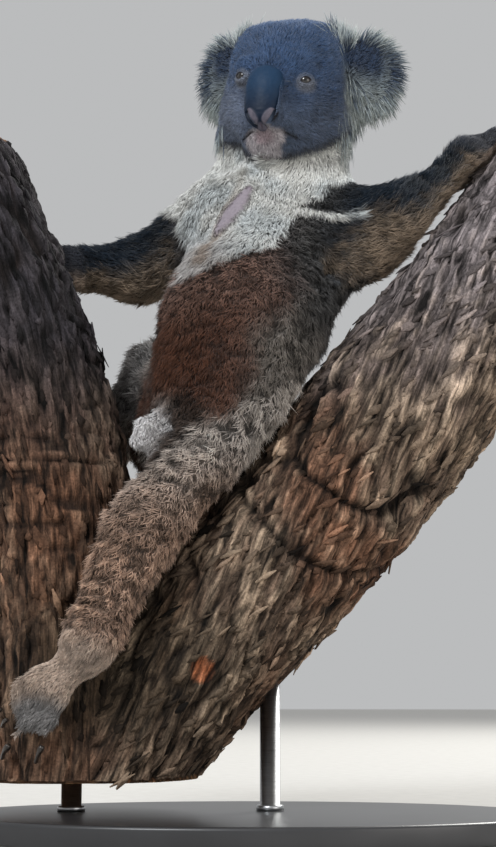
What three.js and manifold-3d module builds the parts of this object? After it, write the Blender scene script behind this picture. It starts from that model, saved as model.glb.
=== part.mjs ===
// Koala, life size, reclining in a cut tree fork on a plain display stand.
// Millimetres, +Z up. The koala faces -Y, its left side is +X, and the origin is the middle of the base's underside.
//
// The koala is one smooth field of rounded bones and muscles. It is turned into a faceted skin by surface nets,
// then parted by thin plane cuts into head, neck, trunk, ears and the lengths of each limb. Hands and feet are laid
// out on the bark itself, by distance along a log and angle round it, so they always grip its surface.

import * as THREE from 'three';
import { mergeVertices } from 'three/addons/utils/BufferGeometryUtils.js';
import Module from 'manifold-3d';

const wasm = await Module();
wasm.setup();

const { PI, cos, sin, min, max, hypot, ceil, floor, abs } = Math;
const RAD = PI / 180;
const v3 = (x, y, z) => new THREE.Vector3(x, y, z);
const turn = (x, y, z) => new THREE.Quaternion().setFromEuler(new THREE.Euler(x * RAD, y * RAD, z * RAD, 'ZXY'));

// ---------------------------------------------------------------- driving sizes

const GAP = 0.4; // clearance between neighbouring solids
const CONTACT = 2; // coat that is pressed flat between the body and the bark
const CUT = 0.5; // width of the thin cuts that part the body

// Facet size of each kind of piece.
const CELL = { trunk: 33, neck: 28.5, limb: 23.8, head: 17.8, ear: 14.6, paw: 12.6, small: 10.6 };

const BASE = { length: 640, width: 400, thickness: 24, bevel: 4 };
const ROD = { radius: 11, sides: 16 };
const SAWN_FOOT = 58; // height of the fork's flat sawn bottom above the floor

// Logs of the fork: axis ends, how far the middle is bowed, and the radius at bottom and top.
const TRUNK_LOG = {
  from: v3(-206, 20, 20), to: v3(-350, -4, 745), bow: v3(56, 0, 0), bottom: 98, top: 87, facing: v3(1, 0, 0), seed: 0.4,
};
const LIMB_LOG = {
  from: v3(-178, 26, 66), to: v3(420, 48, 766), bow: v3(4, 0, -4), bottom: 98, top: 102, facing: v3(-1, 0, 0), seed: 2.1,
};
const LOG_RINGS = 10;
const LOG_SIDES = 16;
const BURL = { at: 430, height: 9, reach: 120, angle: 2.4 }; // swelling under the limb

// Skeleton of the pose: the joints of the trunk and the limbs.
const PELVIS = v3(-27, 10, 472);
const BELLY = v3(-8, 2, 550);
const CHEST = v3(20, 80, 678);
const NECK = v3(33, 88, 768);
const HEAD = v3(46, 62, 845);
const HEAD_TURN = { pitch: 7, roll: 4, yaw: -18 };

const ARM_LEFT = { shoulder: v3(84, 84, 690), elbow: v3(174, 34, 686), wrist: v3(256, 40, 758) };
const ARM_RIGHT = { shoulder: v3(-32, 112, 702), elbow: v3(-130, 136, 650), wrist: v3(-200, 96, 642) };
const LEG_LEFT = { hip: v3(-14, -20, 446), knee: v3(-112, -80, 316), ankle: v3(-161, -104, 203) };
const LEG_RIGHT = { hip: v3(-62, 60, 478), knee: v3(-108, 134, 524), ankle: v3(-196, 148, 382) };

// ---------------------------------------------------------------- distance fields

// Union of two distances with a round fillet of the given width.
function blend(a, b, width) {
  const h = max(width - abs(a - b), 0) / width;
  return min(a, b) - (h * h * width) / 4;
}

// Carves b out of a, with a round edge of the given width.
function carve(a, b, width) {
  return -blend(-a, b, width);
}

// A tapered, round-ended bone from a to b.
function bone(a, b, ra, rb, fillet = 20) {
  const axis = b.clone().sub(a);
  const length2 = axis.lengthSq();
  const distance = (p) => {
    const px = p.x - a.x, py = p.y - a.y, pz = p.z - a.z;
    const t = min(1, max(0, (px * axis.x + py * axis.y + pz * axis.z) / length2));
    return hypot(px - t * axis.x, py - t * axis.y, pz - t * axis.z) - (ra + t * (rb - ra));
  };
  return { distance, fillet };
}

// A muscle: an ellipsoid with the given half sizes, turned by a quaternion.
function muscle(centre, rx, ry, rz, turned = new THREE.Quaternion(), fillet = 20) {
  const back = turned.clone().invert();
  const q = v3(0, 0, 0);
  const distance = (p) => {
    q.copy(p).sub(centre).applyQuaternion(back);
    const k0 = hypot(q.x / rx, q.y / ry, q.z / rz);
    const k1 = hypot(q.x / (rx * rx), q.y / (ry * ry), q.z / (rz * rz));
    return k1 === 0 ? -min(rx, ry, rz) : (k0 * (k0 - 1)) / k1;
  };
  return { distance, fillet };
}

const field = (pieces) => (p) => pieces.reduce((d, piece) => blend(d, piece.distance(p), piece.fillet), 1e3);

// ---------------------------------------------------------------- surface nets

// Moves a point on to the field's surface, by no more than the given reach.
function toSurface(distance, p, reach) {
  const d = distance(p);
  const slope = v3(
    distance(v3(p.x + 1, p.y, p.z)) - distance(v3(p.x - 1, p.y, p.z)),
    distance(v3(p.x, p.y + 1, p.z)) - distance(v3(p.x, p.y - 1, p.z)),
    distance(v3(p.x, p.y, p.z + 1)) - distance(v3(p.x, p.y, p.z - 1)),
  ).normalize();
  return p.addScaledVector(slope, -min(reach, max(-reach, d)));
}

// Turns a field into a closed mesh inside a box whose frame is turned by a quaternion.
function surfaceNets(distance, { centre, half, turned = new THREE.Quaternion(), cell }) {
  const count = half.toArray().map((h) => ceil((2 * h) / cell) + 1);
  const [nx, ny, nz] = count;
  const index = (i, j, k) => i + nx * (j + ny * k);
  const point = (i, j, k) =>
    v3((i - (nx - 1) / 2) * cell, (j - (ny - 1) / 2) * cell, (k - (nz - 1) / 2) * cell)
      .applyQuaternion(turned).add(centre);
  const value = new Float64Array(nx * ny * nz);
  for (let k = 0; k < nz; k++) for (let j = 0; j < ny; j++) for (let i = 0; i < nx; i++) {
    const edge = i === 0 || j === 0 || k === 0 || i === nx - 1 || j === ny - 1 || k === nz - 1;
    value[index(i, j, k)] = edge ? cell / 2 : distance(point(i, j, k)) || 1e-6;
  }

  const corners = [0, 1, 2, 3, 4, 5, 6, 7].map((c) => [c & 1, (c >> 1) & 1, (c >> 2) & 1]);
  const edges = [];
  corners.forEach((a, m) => corners.forEach((b, n) => {
    if (m < n && abs(a[0] - b[0]) + abs(a[1] - b[1]) + abs(a[2] - b[2]) === 1) edges.push([m, n]);
  }));
  const vertexOf = new Map();
  const positions = [];
  for (let k = 0; k < nz - 1; k++) for (let j = 0; j < ny - 1; j++) for (let i = 0; i < nx - 1; i++) {
    const at = corners.map(([a, b, c]) => value[index(i + a, j + b, k + c)]);
    if (at.every((d) => d < 0) || at.every((d) => d > 0)) continue;
    const sum = [0, 0, 0];
    let crossings = 0;
    for (const [m, n] of edges) {
      if (at[m] < 0 === at[n] < 0) continue;
      const t = at[m] / (at[m] - at[n]);
      for (const axis of [0, 1, 2]) sum[axis] += corners[m][axis] + t * (corners[n][axis] - corners[m][axis]);
      crossings++;
    }
    const settled = point(i + sum[0] / crossings, j + sum[1] / crossings, k + sum[2] / crossings);
    vertexOf.set(index(i, j, k), positions.length / 3);
    positions.push(...toSurface(distance, settled, cell / 3).toArray());
  }

  const faces = [];
  const quad = (a, b, c, d, flip) => (flip ? faces.push(a, c, b, a, d, c) : faces.push(a, b, c, a, c, d));
  const cellAt = (i, j, k) => vertexOf.get(index(i, j, k));
  for (let k = 0; k < nz - 1; k++) for (let j = 0; j < ny - 1; j++) for (let i = 0; i < nx - 1; i++) {
    const here = value[index(i, j, k)] < 0;
    if (j && k && here !== value[index(i + 1, j, k)] < 0)
      quad(cellAt(i, j - 1, k - 1), cellAt(i, j, k - 1), cellAt(i, j, k), cellAt(i, j - 1, k), !here);
    if (i && k && here !== value[index(i, j + 1, k)] < 0)
      quad(cellAt(i - 1, j, k - 1), cellAt(i - 1, j, k), cellAt(i, j, k), cellAt(i, j, k - 1), !here);
    if (i && j && here !== value[index(i, j, k + 1)] < 0)
      quad(cellAt(i - 1, j - 1, k), cellAt(i, j - 1, k), cellAt(i, j, k), cellAt(i - 1, j, k), !here);
  }
  const geometry = new THREE.BufferGeometry();
  geometry.setAttribute('position', new THREE.Float32BufferAttribute(positions, 3));
  geometry.setIndex(faces);
  return geometry;
}

// ---------------------------------------------------------------- solids

function toSolid(geometry) {
  const bare = geometry.clone();
  bare.deleteAttribute('normal');
  bare.deleteAttribute('uv');
  const merged = mergeVertices(bare, 1e-3);
  return new wasm.Manifold(new wasm.Mesh({
    numProp: 3,
    vertProperties: merged.attributes.position.array,
    triVerts: new Uint32Array(merged.index.array),
  }));
}

// Vertices of one solid that lie on the same spot, where two folds of its skin touch, are each drawn back a little
// towards their own neighbours.
function parted(positions, triangles) {
  const spots = new Map();
  for (let v = 0; v < positions.length / 3; v++) {
    const spot = [0, 1, 2].map((axis) => positions[3 * v + axis].toFixed(3)).join();
    spots.set(spot, [...(spots.get(spot) || []), v]);
  }
  const touching = new Set([...spots.values()].filter((list) => list.length > 1).flat());
  const drawn = positions.slice();
  for (const v of touching) {
    const around = [];
    for (let t = 0; t < triangles.length; t += 3) {
      const corners = [...triangles.slice(t, t + 3)];
      if (corners.includes(v)) around.push(...corners.filter((c) => c !== v));
    }
    for (const axis of [0, 1, 2]) {
      const mean = around.reduce((sum, c) => sum + positions[3 * c + axis], 0) / around.length;
      drawn[3 * v + axis] += 0.04 * (mean - positions[3 * v + axis]);
    }
  }
  return drawn;
}

function toGeometry(solid) {
  const mesh = solid.getMesh();
  const geometry = new THREE.BufferGeometry();
  geometry.setAttribute('position', new THREE.Float32BufferAttribute(parted(mesh.vertProperties, mesh.triVerts), 3));
  geometry.setIndex(new THREE.BufferAttribute(mesh.triVerts, 1));
  return geometry;
}

// The same net with every vertex moved outwards along its normal.
function swell(geometry, distance) {
  const grown = geometry.clone();
  grown.computeVertexNormals();
  const { position, normal } = grown.attributes;
  for (let i = 0; i < position.count; i++) {
    position.setXYZ(i, ...[0, 1, 2].map((axis) => position.getComponent(i, axis) + distance * normal.getComponent(i, axis)));
  }
  return grown;
}

// The largest single body of a solid, without the slivers that a cut can leave.
const largest = (solid) => solid.decompose().sort((a, b) => b.volume() - a.volume())[0];

// A block that starts at a plane, with the plane's normal along its depth.
function block(point, normal, depth, across, upright = v3(0, 0, 1), start = 0) {
  const z = normal.clone().normalize();
  const x = upright.clone().cross(z).normalize();
  const y = z.clone().cross(x);
  const geometry = new THREE.BoxGeometry(2 * across, 2 * across, depth);
  geometry.translate(0, 0, start + depth / 2);
  geometry.applyMatrix4(new THREE.Matrix4().makeBasis(x, y, z).setPosition(point));
  return toSolid(geometry);
}

// Parts a solid at a plane: [what lies behind it, what lies beyond it within the block].
function part(solid, point, normal, depth = 900, across = 900) {
  return [
    largest(solid.subtract(block(point, normal, depth, across, undefined, -CUT / 2))),
    largest(solid.intersect(block(point, normal, depth, across, undefined, CUT / 2))),
  ];
}

// ---------------------------------------------------------------- the fork's logs

function makeLog({ from, to, bow, bottom, top, facing, seed }, swelling = () => 0) {
  const axis = to.clone().sub(from);
  const length = axis.length();
  axis.normalize();
  const e1 = facing.clone().addScaledVector(axis, -facing.dot(axis)).normalize();
  const e2 = axis.clone().cross(e1);
  const middle = (s) => {
    const t = s / length;
    return from.clone().addScaledVector(axis, s).addScaledVector(bow, 4 * t * (1 - t));
  };
  const radius = (s, angle) => {
    const ridges = 2.2 * sin(3 * angle + seed + s / 140) + 1.6 * sin(5 * angle - s / 90 + 2 * seed);
    const waves = 2.5 * sin(s / 62 + seed) * cos(angle - seed);
    return bottom + (top - bottom) * (s / length) + ridges + waves + swelling(s, angle);
  };
  // The point at s along the log, at an angle round it, and that far above its bark.
  const at = (s, degrees, height = 0) => {
    const angle = degrees * RAD;
    const r = radius(s, angle) + height;
    return middle(s).addScaledVector(e1, r * cos(angle)).addScaledVector(e2, r * sin(angle));
  };
  const solid = (grow = 0) => {
    const positions = [];
    const faces = [];
    for (let ring = 0; ring < LOG_RINGS; ring++) {
      const s = (length + 2 * grow) * (ring / (LOG_RINGS - 1)) - grow;
      for (let side = 0; side < LOG_SIDES; side++) {
        positions.push(...at(s, (side * 360) / LOG_SIDES, grow * 1.02).toArray());
      }
    }
    const first = positions.length / 3;
    positions.push(...middle(-grow).toArray(), ...middle(length + grow).toArray());
    const last = (LOG_RINGS - 1) * LOG_SIDES;
    for (let side = 0; side < LOG_SIDES; side++) {
      const next = (side + 1) % LOG_SIDES;
      faces.push(first, next, side, first + 1, last + side, last + next);
      for (let ring = 0; ring < LOG_RINGS - 1; ring++) {
        const a = ring * LOG_SIDES + side, b = ring * LOG_SIDES + next;
        faces.push(a, b, b + LOG_SIDES, a, b + LOG_SIDES, a + LOG_SIDES);
      }
    }
    const geometry = new THREE.BufferGeometry();
    geometry.setAttribute('position', new THREE.Float32BufferAttribute(positions, 3));
    geometry.setIndex(faces);
    return toSolid(geometry);
  };
  const distance = (p) => {
    const s = min(length, max(0, p.clone().sub(from).dot(axis)));
    const away = p.clone().sub(middle(s));
    return away.length() - radius(s, Math.atan2(away.dot(e2), away.dot(e1)));
  };
  return { at, solid, radius, distance };
}

const burl = (s, angle) =>
  BURL.height * Math.exp(-(((s - BURL.at) / BURL.reach) ** 2)) * max(0, cos(angle - BURL.angle)) ** 2;
const trunkLog = makeLog(TRUNK_LOG);
const limbLog = makeLog(LIMB_LOG, burl);
// A body field pressed flat where it meets the bark.
const pressed = (distance) => (p) =>
  carve(distance(p), min(trunkLog.distance(p), limbLog.distance(p)) - CONTACT, 3);

// ---------------------------------------------------------------- paws

// A paw lies on a log. It starts at s along the log and an angle round it, and points at a heading: 0 is up the log,
// 90 is the way the angle grows. Distances ahead and aside are measured on the bark.
function pawMap(log, s, degrees, heading) {
  const c = cos(heading * RAD), d = sin(heading * RAD);
  return (ahead, aside, height) => {
    const up = ahead * c - aside * d;
    const round = ahead * d + aside * c;
    return log.at(s + up, degrees + round / (log.radius(s, degrees * RAD) * RAD), height);
  };
}

// Digits: where each starts beside the palm, its heading, and the lengths of its two joints.
// Two thumbs oppose three fingers on the hand. The foot has a clawless big toe and a joined second and third.
const HAND_DIGITS = [
  { name: '1', ahead: 22, aside: -20, heading: -64, lengths: [17, 12], thick: 10 },
  { name: '2', ahead: 40, aside: -19, heading: -36, lengths: [19, 14], thick: 10 },
  { name: '3', ahead: 52, aside: -6, heading: -4, lengths: [22, 16], thick: 10.5 },
  { name: '4', ahead: 51, aside: 8, heading: 12, lengths: [22, 16], thick: 10.5 },
  { name: '5', ahead: 43, aside: 20, heading: 32, lengths: [18, 14], thick: 10 },
];
const FOOT_DIGITS = [
  { name: '1', ahead: 34, aside: -23, heading: -52, lengths: [16, 12], thick: 12, clawless: true },
  { name: '2', ahead: 60, aside: -13, heading: -16, lengths: [15, 11], thick: 8.5, claw: 0.72 },
  { name: '3', ahead: 62, aside: -4, heading: -8, lengths: [15, 11], thick: 8.5, claw: 0.72 },
  { name: '4', ahead: 64, aside: 9, heading: 6, lengths: [21, 16], thick: 11 },
  { name: '5', ahead: 55, aside: 22, heading: 26, lengths: [18, 14], thick: 10.5 },
];
// The left foot is stretched out, with its big toe folded in beside the others.
const STRETCHED_DIGITS = FOOT_DIGITS.map((digit) => ({ ...digit, ahead: digit.ahead - 3 }));
Object.assign(STRETCHED_DIGITS[0], { ahead: 40, aside: -20, heading: -18 });
const CLAW = { length: 21, radius: 3.6, sides: 5, rings: 3 };
const PALM_HEIGHT = 13;
const TOE_HEIGHT = 10;

// mirror is 1 for a right paw and -1 for a left one.
function makePaw(map, digits, wrist, mirror, palmLength, wristRadius) {
  const palm = map(palmLength * 0.62, 0, PALM_HEIGHT + 2);
  const heel = map(palmLength * 0.12, 0, PALM_HEIGHT + 7);
  const pieces = [
    bone(wrist, heel, wristRadius, 22, 28),
    bone(heel, palm, 22, 19, 16),
    bone(map(palmLength * 0.62, -11 * mirror, PALM_HEIGHT), map(palmLength * 0.62, 11 * mirror, PALM_HEIGHT), 16, 16, 14),
  ];
  const claws = [];
  for (const { name, ahead, aside, heading, lengths, thick, claw = 1, clawless } of digits) {
    const c = cos(heading * RAD), d = sin(heading * RAD);
    const on = (reach, height) => map(ahead + reach * c, mirror * (aside + reach * d), height);
    const [first, second] = lengths;
    const knuckle = on(first, TOE_HEIGHT + 4);
    const tip = on(first + second, TOE_HEIGHT);
    pieces.push(bone(on(-6, TOE_HEIGHT + 2), knuckle, thick + 1, thick, 7), bone(knuckle, tip, thick, thick - 2, 5));
    if (!clawless) claws.push({ name, root: first + second + thick - 2 + 2 * GAP, on, scale: claw });
  }
  return { pieces, claws };
}

// A hooked claw that leaves the tip of its digit and comes down on the bark.
function makeClaw({ root, on, scale }) {
  const length = CLAW.length * scale;
  const spine = (t) => on(root + length * t * (1 - 0.1 * t), 11 - 1.5 * t - 7.6 * t * t);
  const positions = [];
  const faces = [];
  const { sides, rings } = CLAW;
  for (let ring = 0; ring < rings; ring++) {
    const t = ring / rings;
    const centre = spine(t);
    const along = spine(t + 0.05).sub(centre).normalize();
    const across = on(root, 0).sub(on(root, 10)).cross(along).normalize();
    const rise = along.clone().cross(across);
    const r = CLAW.radius * scale * (1 - 0.8 * t ** 1.4);
    for (let side = 0; side < sides; side++) {
      const angle = (side / sides) * 2 * PI;
      positions.push(...centre.clone().addScaledVector(across, 0.72 * r * cos(angle))
        .addScaledVector(rise, r * sin(angle)).toArray());
    }
  }
  const tail = positions.length / 3;
  positions.push(...spine(0).toArray(), ...spine(1).toArray());
  for (let side = 0; side < sides; side++) {
    const next = (side + 1) % sides;
    faces.push(tail, next, side, tail + 1, (rings - 1) * sides + side, (rings - 1) * sides + next);
    for (let ring = 0; ring < rings - 1; ring++) {
      const a = ring * sides + side, b = ring * sides + next;
      faces.push(a, b, b + sides, a, b + sides, a + sides);
    }
  }
  const geometry = new THREE.BufferGeometry();
  geometry.setAttribute('position', new THREE.Float32BufferAttribute(positions, 3));
  geometry.setIndex(faces);
  const solid = toSolid(geometry);
  if (solid.volume() > 0) return solid;
  geometry.setIndex(faces.reverse());
  return toSolid(geometry);
}

const HAND = { length: 58, wrist: 26 };
const FOOT = { length: 72, wrist: 31 };
const PAWS = {
  hand_left: makePaw(pawMap(limbLog, 806, -2, -40), HAND_DIGITS, ARM_LEFT.wrist, -1, HAND.length, HAND.wrist),
  hand_right: makePaw(pawMap(trunkLog, 628, 54, 74), HAND_DIGITS, ARM_RIGHT.wrist, 1, HAND.length, HAND.wrist),
  foot_left: makePaw(pawMap(trunkLog, 172, -70, -131), STRETCHED_DIGITS, LEG_LEFT.ankle, -1, FOOT.length, FOOT.wrist),
  foot_right: makePaw(pawMap(trunkLog, 344, 84, 138), FOOT_DIGITS, LEG_RIGHT.ankle, 1, FOOT.length, FOOT.wrist),
};

// ---------------------------------------------------------------- head

const headTurn = turn(HEAD_TURN.pitch, HEAD_TURN.roll, HEAD_TURN.yaw);
// A point of the head's own frame: x to its left, y back, z up, from the middle of the skull.
const inHead = (x, y, z) => v3(x, y, z).applyQuaternion(headTurn).add(HEAD);
const headMuscle = (x, y, z, rx, ry, rz, fillet) => muscle(inHead(x, y, z), rx, ry, rz, headTurn, fillet);
const bothSides = (make) => [-1, 1].flatMap(make);

// Eyes and ears by side: -1 is the right one and 1 the left. The face isn't quite even.
const EYE_RADIUS = 9;
const EYE_PLACES = { [-1]: [-34.5, -57, 8.5], 1: [37.4, -55.5, 0.7] };
const EAR = { width: 46, height: 57, thickness: 20, outward: 24 };
const EAR_PLACES = { [-1]: [-90, 34, 30.5], 1: [92, 34, 26] };
const NOSE = { y: -93, z: -24, width: 22, height: 38, thickness: 15 };

const skull = [
  headMuscle(0, 18, 28, 70, 70, 60, 20),
  headMuscle(0, -26, 8, 50, 44, 52, 24),
  headMuscle(0, 26, -14, 66, 62, 66, 24),
  ...bothSides((side) => [
    headMuscle(side * 45, 0, -26, 34, 48, 46, 24),
    headMuscle(side * 32, 14, 44, 36, 48, 37, 24),
    headMuscle(side * 27, -44, 22, 22, 17, 15, 18),
    headMuscle(side * 26, -46, -42, 26, 26, 28, 20),
  ]),
  headMuscle(0, -60, -34, 25, 34, 37, 18),
  headMuscle(0, -44, -74, 24, 28, 20, 14),
];
const earTurn = (side) => headTurn.clone().multiply(turn(0, side * 8, side * EAR.outward));
const ears = bothSides((side) => {
  const centre = inHead(...EAR_PLACES[side]);
  const outer = muscle(centre, EAR.width, EAR.thickness, EAR.height, earTurn(side), 14);
  const cup = centre.clone().add(v3(side * 4, -EAR.thickness - 2, 4).applyQuaternion(earTurn(side)));
  const hollow = muscle(cup, EAR.width * 0.58, EAR.thickness * 0.9, EAR.height * 0.56, earTurn(side));
  return [{ distance: (p) => carve(outer.distance(p), hollow.distance(p), 8), fillet: 14 }];
});

// The nose pad: a tall rounded shield, narrower above, that stands proud of the muzzle.
function nosePad() {
  const lower = muscle(inHead(0, NOSE.y, NOSE.z - 7), NOSE.width, NOSE.thickness, NOSE.height - 9, headTurn, 12);
  const upper = muscle(inHead(0, NOSE.y + 8, NOSE.z + 14), NOSE.width - 3, NOSE.thickness, NOSE.height - 12, headTurn, 12);
  return surfaceNets(field([lower, upper]), {
    centre: inHead(0, NOSE.y, NOSE.z), half: v3(32, 28, 46), turned: headTurn, cell: CELL.small,
  });
}

// ---------------------------------------------------------------- the whole body as one field

const trunkPieces = [
  muscle(v3(PELVIS.x - 8, PELVIS.y, PELVIS.z), 79, 84, 76, turn(0, 0, -25), 40),
  muscle(BELLY, 100, 96, 104, turn(-12, 12, -25), 40),
  muscle(CHEST, 88, 80, 88, turn(-20, 14, -25), 46),
  muscle(v3(NECK.x + 7, NECK.y, NECK.z + 2), 86, 66, 56, turn(-8, 6, -20), 34),
  bone(v3(0, 88, 752), v3(-58, 90, 700), 26, 26, 30), // the slope from the neck to the right shoulder
  muscle(v3(18, 40, 602), 90, 82, 86, turn(-20, 14, -25), 40),
];
const limbPieces = [
  bone(ARM_LEFT.shoulder, ARM_LEFT.elbow, 54, 42, 34),
  bone(ARM_LEFT.elbow, ARM_LEFT.wrist, 41, 26, 20),
  bone(ARM_RIGHT.shoulder, ARM_RIGHT.elbow, 54, 43, 34),
  bone(ARM_RIGHT.elbow, ARM_RIGHT.wrist, 42, 28, 20),
  muscle(v3(92, 56, 644), 42, 44, 50, turn(0, 20, 0), 34), // the fold of the left armpit
  muscle(v3(140, 46, 650), 64, 34, 38, turn(0, -30, 0), 30), // the loose skin under the left arm
  muscle(v3(-3, -4, 468), 58, 62, 68, turn(0, 30, 0), 34),
  muscle(v3(-88, 62, 428), 52, 50, 56, turn(0, 0, 0), 30), // the rump in the crotch of the fork
  bone(LEG_LEFT.hip, LEG_LEFT.knee, 50, 44, 26),
  bone(LEG_LEFT.knee, LEG_LEFT.ankle, 46, 33, 16),
  bone(LEG_RIGHT.hip, LEG_RIGHT.knee, 58, 44, 26),
  bone(LEG_RIGHT.knee, LEG_RIGHT.ankle, 43, 32, 16),
];
const SCROTUM = v3(-110, -36, 427);
const pouchPieces = [-1, 1].map((side) => muscle(SCROTUM.clone().add(v3(3 * side, -2, 9.5 * side)), 21, 18, 15, turn(0, 0, 0), 5));

const body = pressed(field([...trunkPieces, ...limbPieces]));
const head = field([...skull, ...ears, trunkPieces[3]]);
const limbAndPaw = (name) => pressed(field([...trunkPieces, ...limbPieces, ...PAWS[name].pieces]));

// ---------------------------------------------------------------- cutting the body into its parts

const direction = (a, b) => b.clone().sub(a).normalize();
const between = (a, b, t) => a.clone().lerp(b, t);
// A joint's cutting plane halves the angle between the two bones that meet there.
const joint = (a, b, c) => direction(a, b).add(direction(b, c)).normalize();

const LIMBS = {
  arm_left: { root: between(ARM_LEFT.shoulder, ARM_LEFT.elbow, 0.45), bones: ARM_LEFT, paw: 'hand_left', across: 80 },
  arm_right: { root: between(ARM_RIGHT.shoulder, ARM_RIGHT.elbow, 0.34), bones: ARM_RIGHT, paw: 'hand_right', across: 64 },
  leg_left: { root: between(LEG_LEFT.hip, LEG_LEFT.knee, 0.24), bones: LEG_LEFT, paw: 'foot_left', across: 108 },
  leg_right: { root: between(LEG_RIGHT.hip, LEG_RIGHT.knee, 0.42), bones: LEG_RIGHT, paw: 'foot_right', across: 66, folded: 58 },
};
const SEGMENTS = { arm: ['upper_arm', 'forearm', 'hand'], leg: ['thigh', 'shank', 'foot'] };

const trunkWood = trunkLog.solid();
const limbWood = limbLog.solid();
const grownWood = trunkLog.solid(GAP).add(limbLog.solid(GAP));

const solids = new Map(); // node name to [solid, material name]
const put = (name, solid, material) => solids.set(name, [largest(solid), material]);

let torso = toSolid(surfaceNets(body, { centre: v3(0, 50, 610), half: v3(190, 190, 260), cell: CELL.trunk }));

for (const [name, { root, bones, paw, across, folded }] of Object.entries(LIMBS)) {
  const [top, middle, end] = Object.values(bones);
  const outward = direction(top, middle);
  const reach = 520;
  torso = torso.subtract(block(root, outward, reach, across, undefined, -CUT / 2));
  const [kind, side] = name.split('_');
  const [near, far, tipName] = SEGMENTS[kind].map((segment) => `${segment}_${side}`);

  // A length of the limb's field from a to b, with room at both ends.
  const length = (a, b, room) => toSolid(surfaceNets(limbAndPaw(paw), {
    centre: between(a, b, 0.5),
    half: v3(room, room, a.distanceTo(b) / 2 + 66),
    turned: new THREE.Quaternion().setFromUnitVectors(v3(0, 0, 1), direction(a, b)),
    cell: CELL.limb,
  }));
  const bend = joint(top, middle, end);
  const atWrist = direction(middle, end);
  const beyondRoot = length(root, middle, across + 20).intersect(block(root, outward, reach, across - CUT, undefined, CUT / 2));
  put(near, part(largest(beyondRoot), middle, bend)[0], 'fur');
  let lower = part(length(middle, end, 78), middle, bend)[1];
  // A folded limb lies against the body, so the two are also parted along a box round its lower length.
  if (folded) {
    const beyondBend = block(middle, bend, reach, reach, undefined, -CUT / 2);
    torso = torso.subtract(block(middle, atWrist, reach, folded, undefined, -130).intersect(beyondBend));
    lower = lower.intersect(block(middle, atWrist, reach, folded - CUT, undefined, -130));
  }
  put(far, part(lower, end, atWrist)[0], 'fur');

  const { pieces, claws } = PAWS[paw];
  const middleOfPaw = new THREE.Box3().setFromPoints(claws.map((claw) => claw.on(claw.root, 10))).expandByPoint(end);
  const reachOfPaw = middleOfPaw.getSize(v3(0, 0, 0)).multiplyScalar(0.5).addScalar(52);
  let pawSolid = toSolid(surfaceNets(pressed(field([...pieces, ...limbPieces])), {
    centre: middleOfPaw.getCenter(v3(0, 0, 0)), half: reachOfPaw, cell: CELL.paw,
  }));
  pawSolid = part(pawSolid, end, atWrist)[1];
  for (const claw of claws) {
    put(`claw_${paw}_${claw.name}`, makeClaw(claw), 'claw');
    pawSolid = pawSolid.subtract(makeClaw(claw));
  }
  put(tipName, pawSolid, 'fur');
}

// The pouch hangs in front of the crotch, clear of the belly and the thigh.
const pouchField = field(pouchPieces);
const pouch = surfaceNets((p) => max(pouchField(p), 3.2 - body(p)), {
  centre: SCROTUM, half: v3(40, 40, 48), cell: CELL.small,
});
put('scrotum', toSolid(pouch), 'pale_fur');

// Head, ears and neck.
const jaw = { point: inHead(0, 30, -62), normal: v3(0.06, -0.36, 0.93) };
const collar = { point: v3(30, 84, 742), normal: v3(0.14, 0.1, 0.98) };
let skullSolid = toSolid(surfaceNets(head, { centre: HEAD, half: v3(160, 118, 118), turned: headTurn, cell: CELL.head }));
skullSolid = part(skullSolid, jaw.point, jaw.normal)[1];
for (const side of [-1, 1]) {
  const [, back, up] = EAR_PLACES[side];
  const root = inHead(side * 70, back, up);
  const outward = v3(side, 0, 0.12).applyQuaternion(headTurn);
  skullSolid = largest(skullSolid.subtract(block(root, outward, 150, 75, undefined, -CUT / 2)));
  const fine = toSolid(surfaceNets(head, {
    centre: inHead(...EAR_PLACES[side]), half: v3(74, 62, 78), turned: headTurn, cell: CELL.ear,
  }));
  put(`ear_${side < 0 ? 'right' : 'left'}`, fine.intersect(block(root, outward, 150, 75 - CUT, undefined, CUT / 2)), 'pale_fur');
  const eye = (grow) => toSolid(new THREE.SphereGeometry(EYE_RADIUS + grow, 9, 6)
    .translate(...inHead(...EYE_PLACES[side]).toArray()));
  put(`eye_${side < 0 ? 'right' : 'left'}`, eye(0), 'eye');
  skullSolid = skullSolid.subtract(eye(GAP));
}
put('nose', toSolid(nosePad()), 'nose');
put('head', skullSolid.subtract(toSolid(swell(nosePad(), GAP))), 'fur');

const [trunkOnly] = part(largest(torso), collar.point, collar.normal);
put('trunk', trunkOnly, 'fur');
const throat = toSolid(surfaceNets(field([...trunkPieces, ...limbPieces.slice(0, 4), ...skull]), {
  centre: NECK, half: v3(130, 120, 90), cell: CELL.neck,
}));
let neck = part(throat, collar.point, collar.normal)[1];
[neck] = part(neck, jaw.point, jaw.normal);
for (const { root, bones } of [LIMBS.arm_left, LIMBS.arm_right]) {
  neck = neck.subtract(block(root, direction(bones.shoulder, bones.elbow), 520, 66, undefined, -CUT / 2));
}
put('neck', neck, 'pale_fur');

// The fork: both logs stand on one flat sawn end, and the limb is let into the trunk.
const floorBlock = block(v3(0, 0, SAWN_FOOT), v3(0, 0, -1), 400, 900, v3(0, 1, 0));
put('perch_trunk', trunkWood.subtract(floorBlock), 'bark');
put('perch_limb', limbWood.subtract(floorBlock).subtract(trunkLog.solid(GAP)), 'bark');

// Every part of the koala is pressed flat where it meets the bark.
for (const [name, [solid, material]] of solids) {
  if (!name.startsWith('perch')) put(name, solid.subtract(grownWood), material);
}

// ---------------------------------------------------------------- display stand

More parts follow.
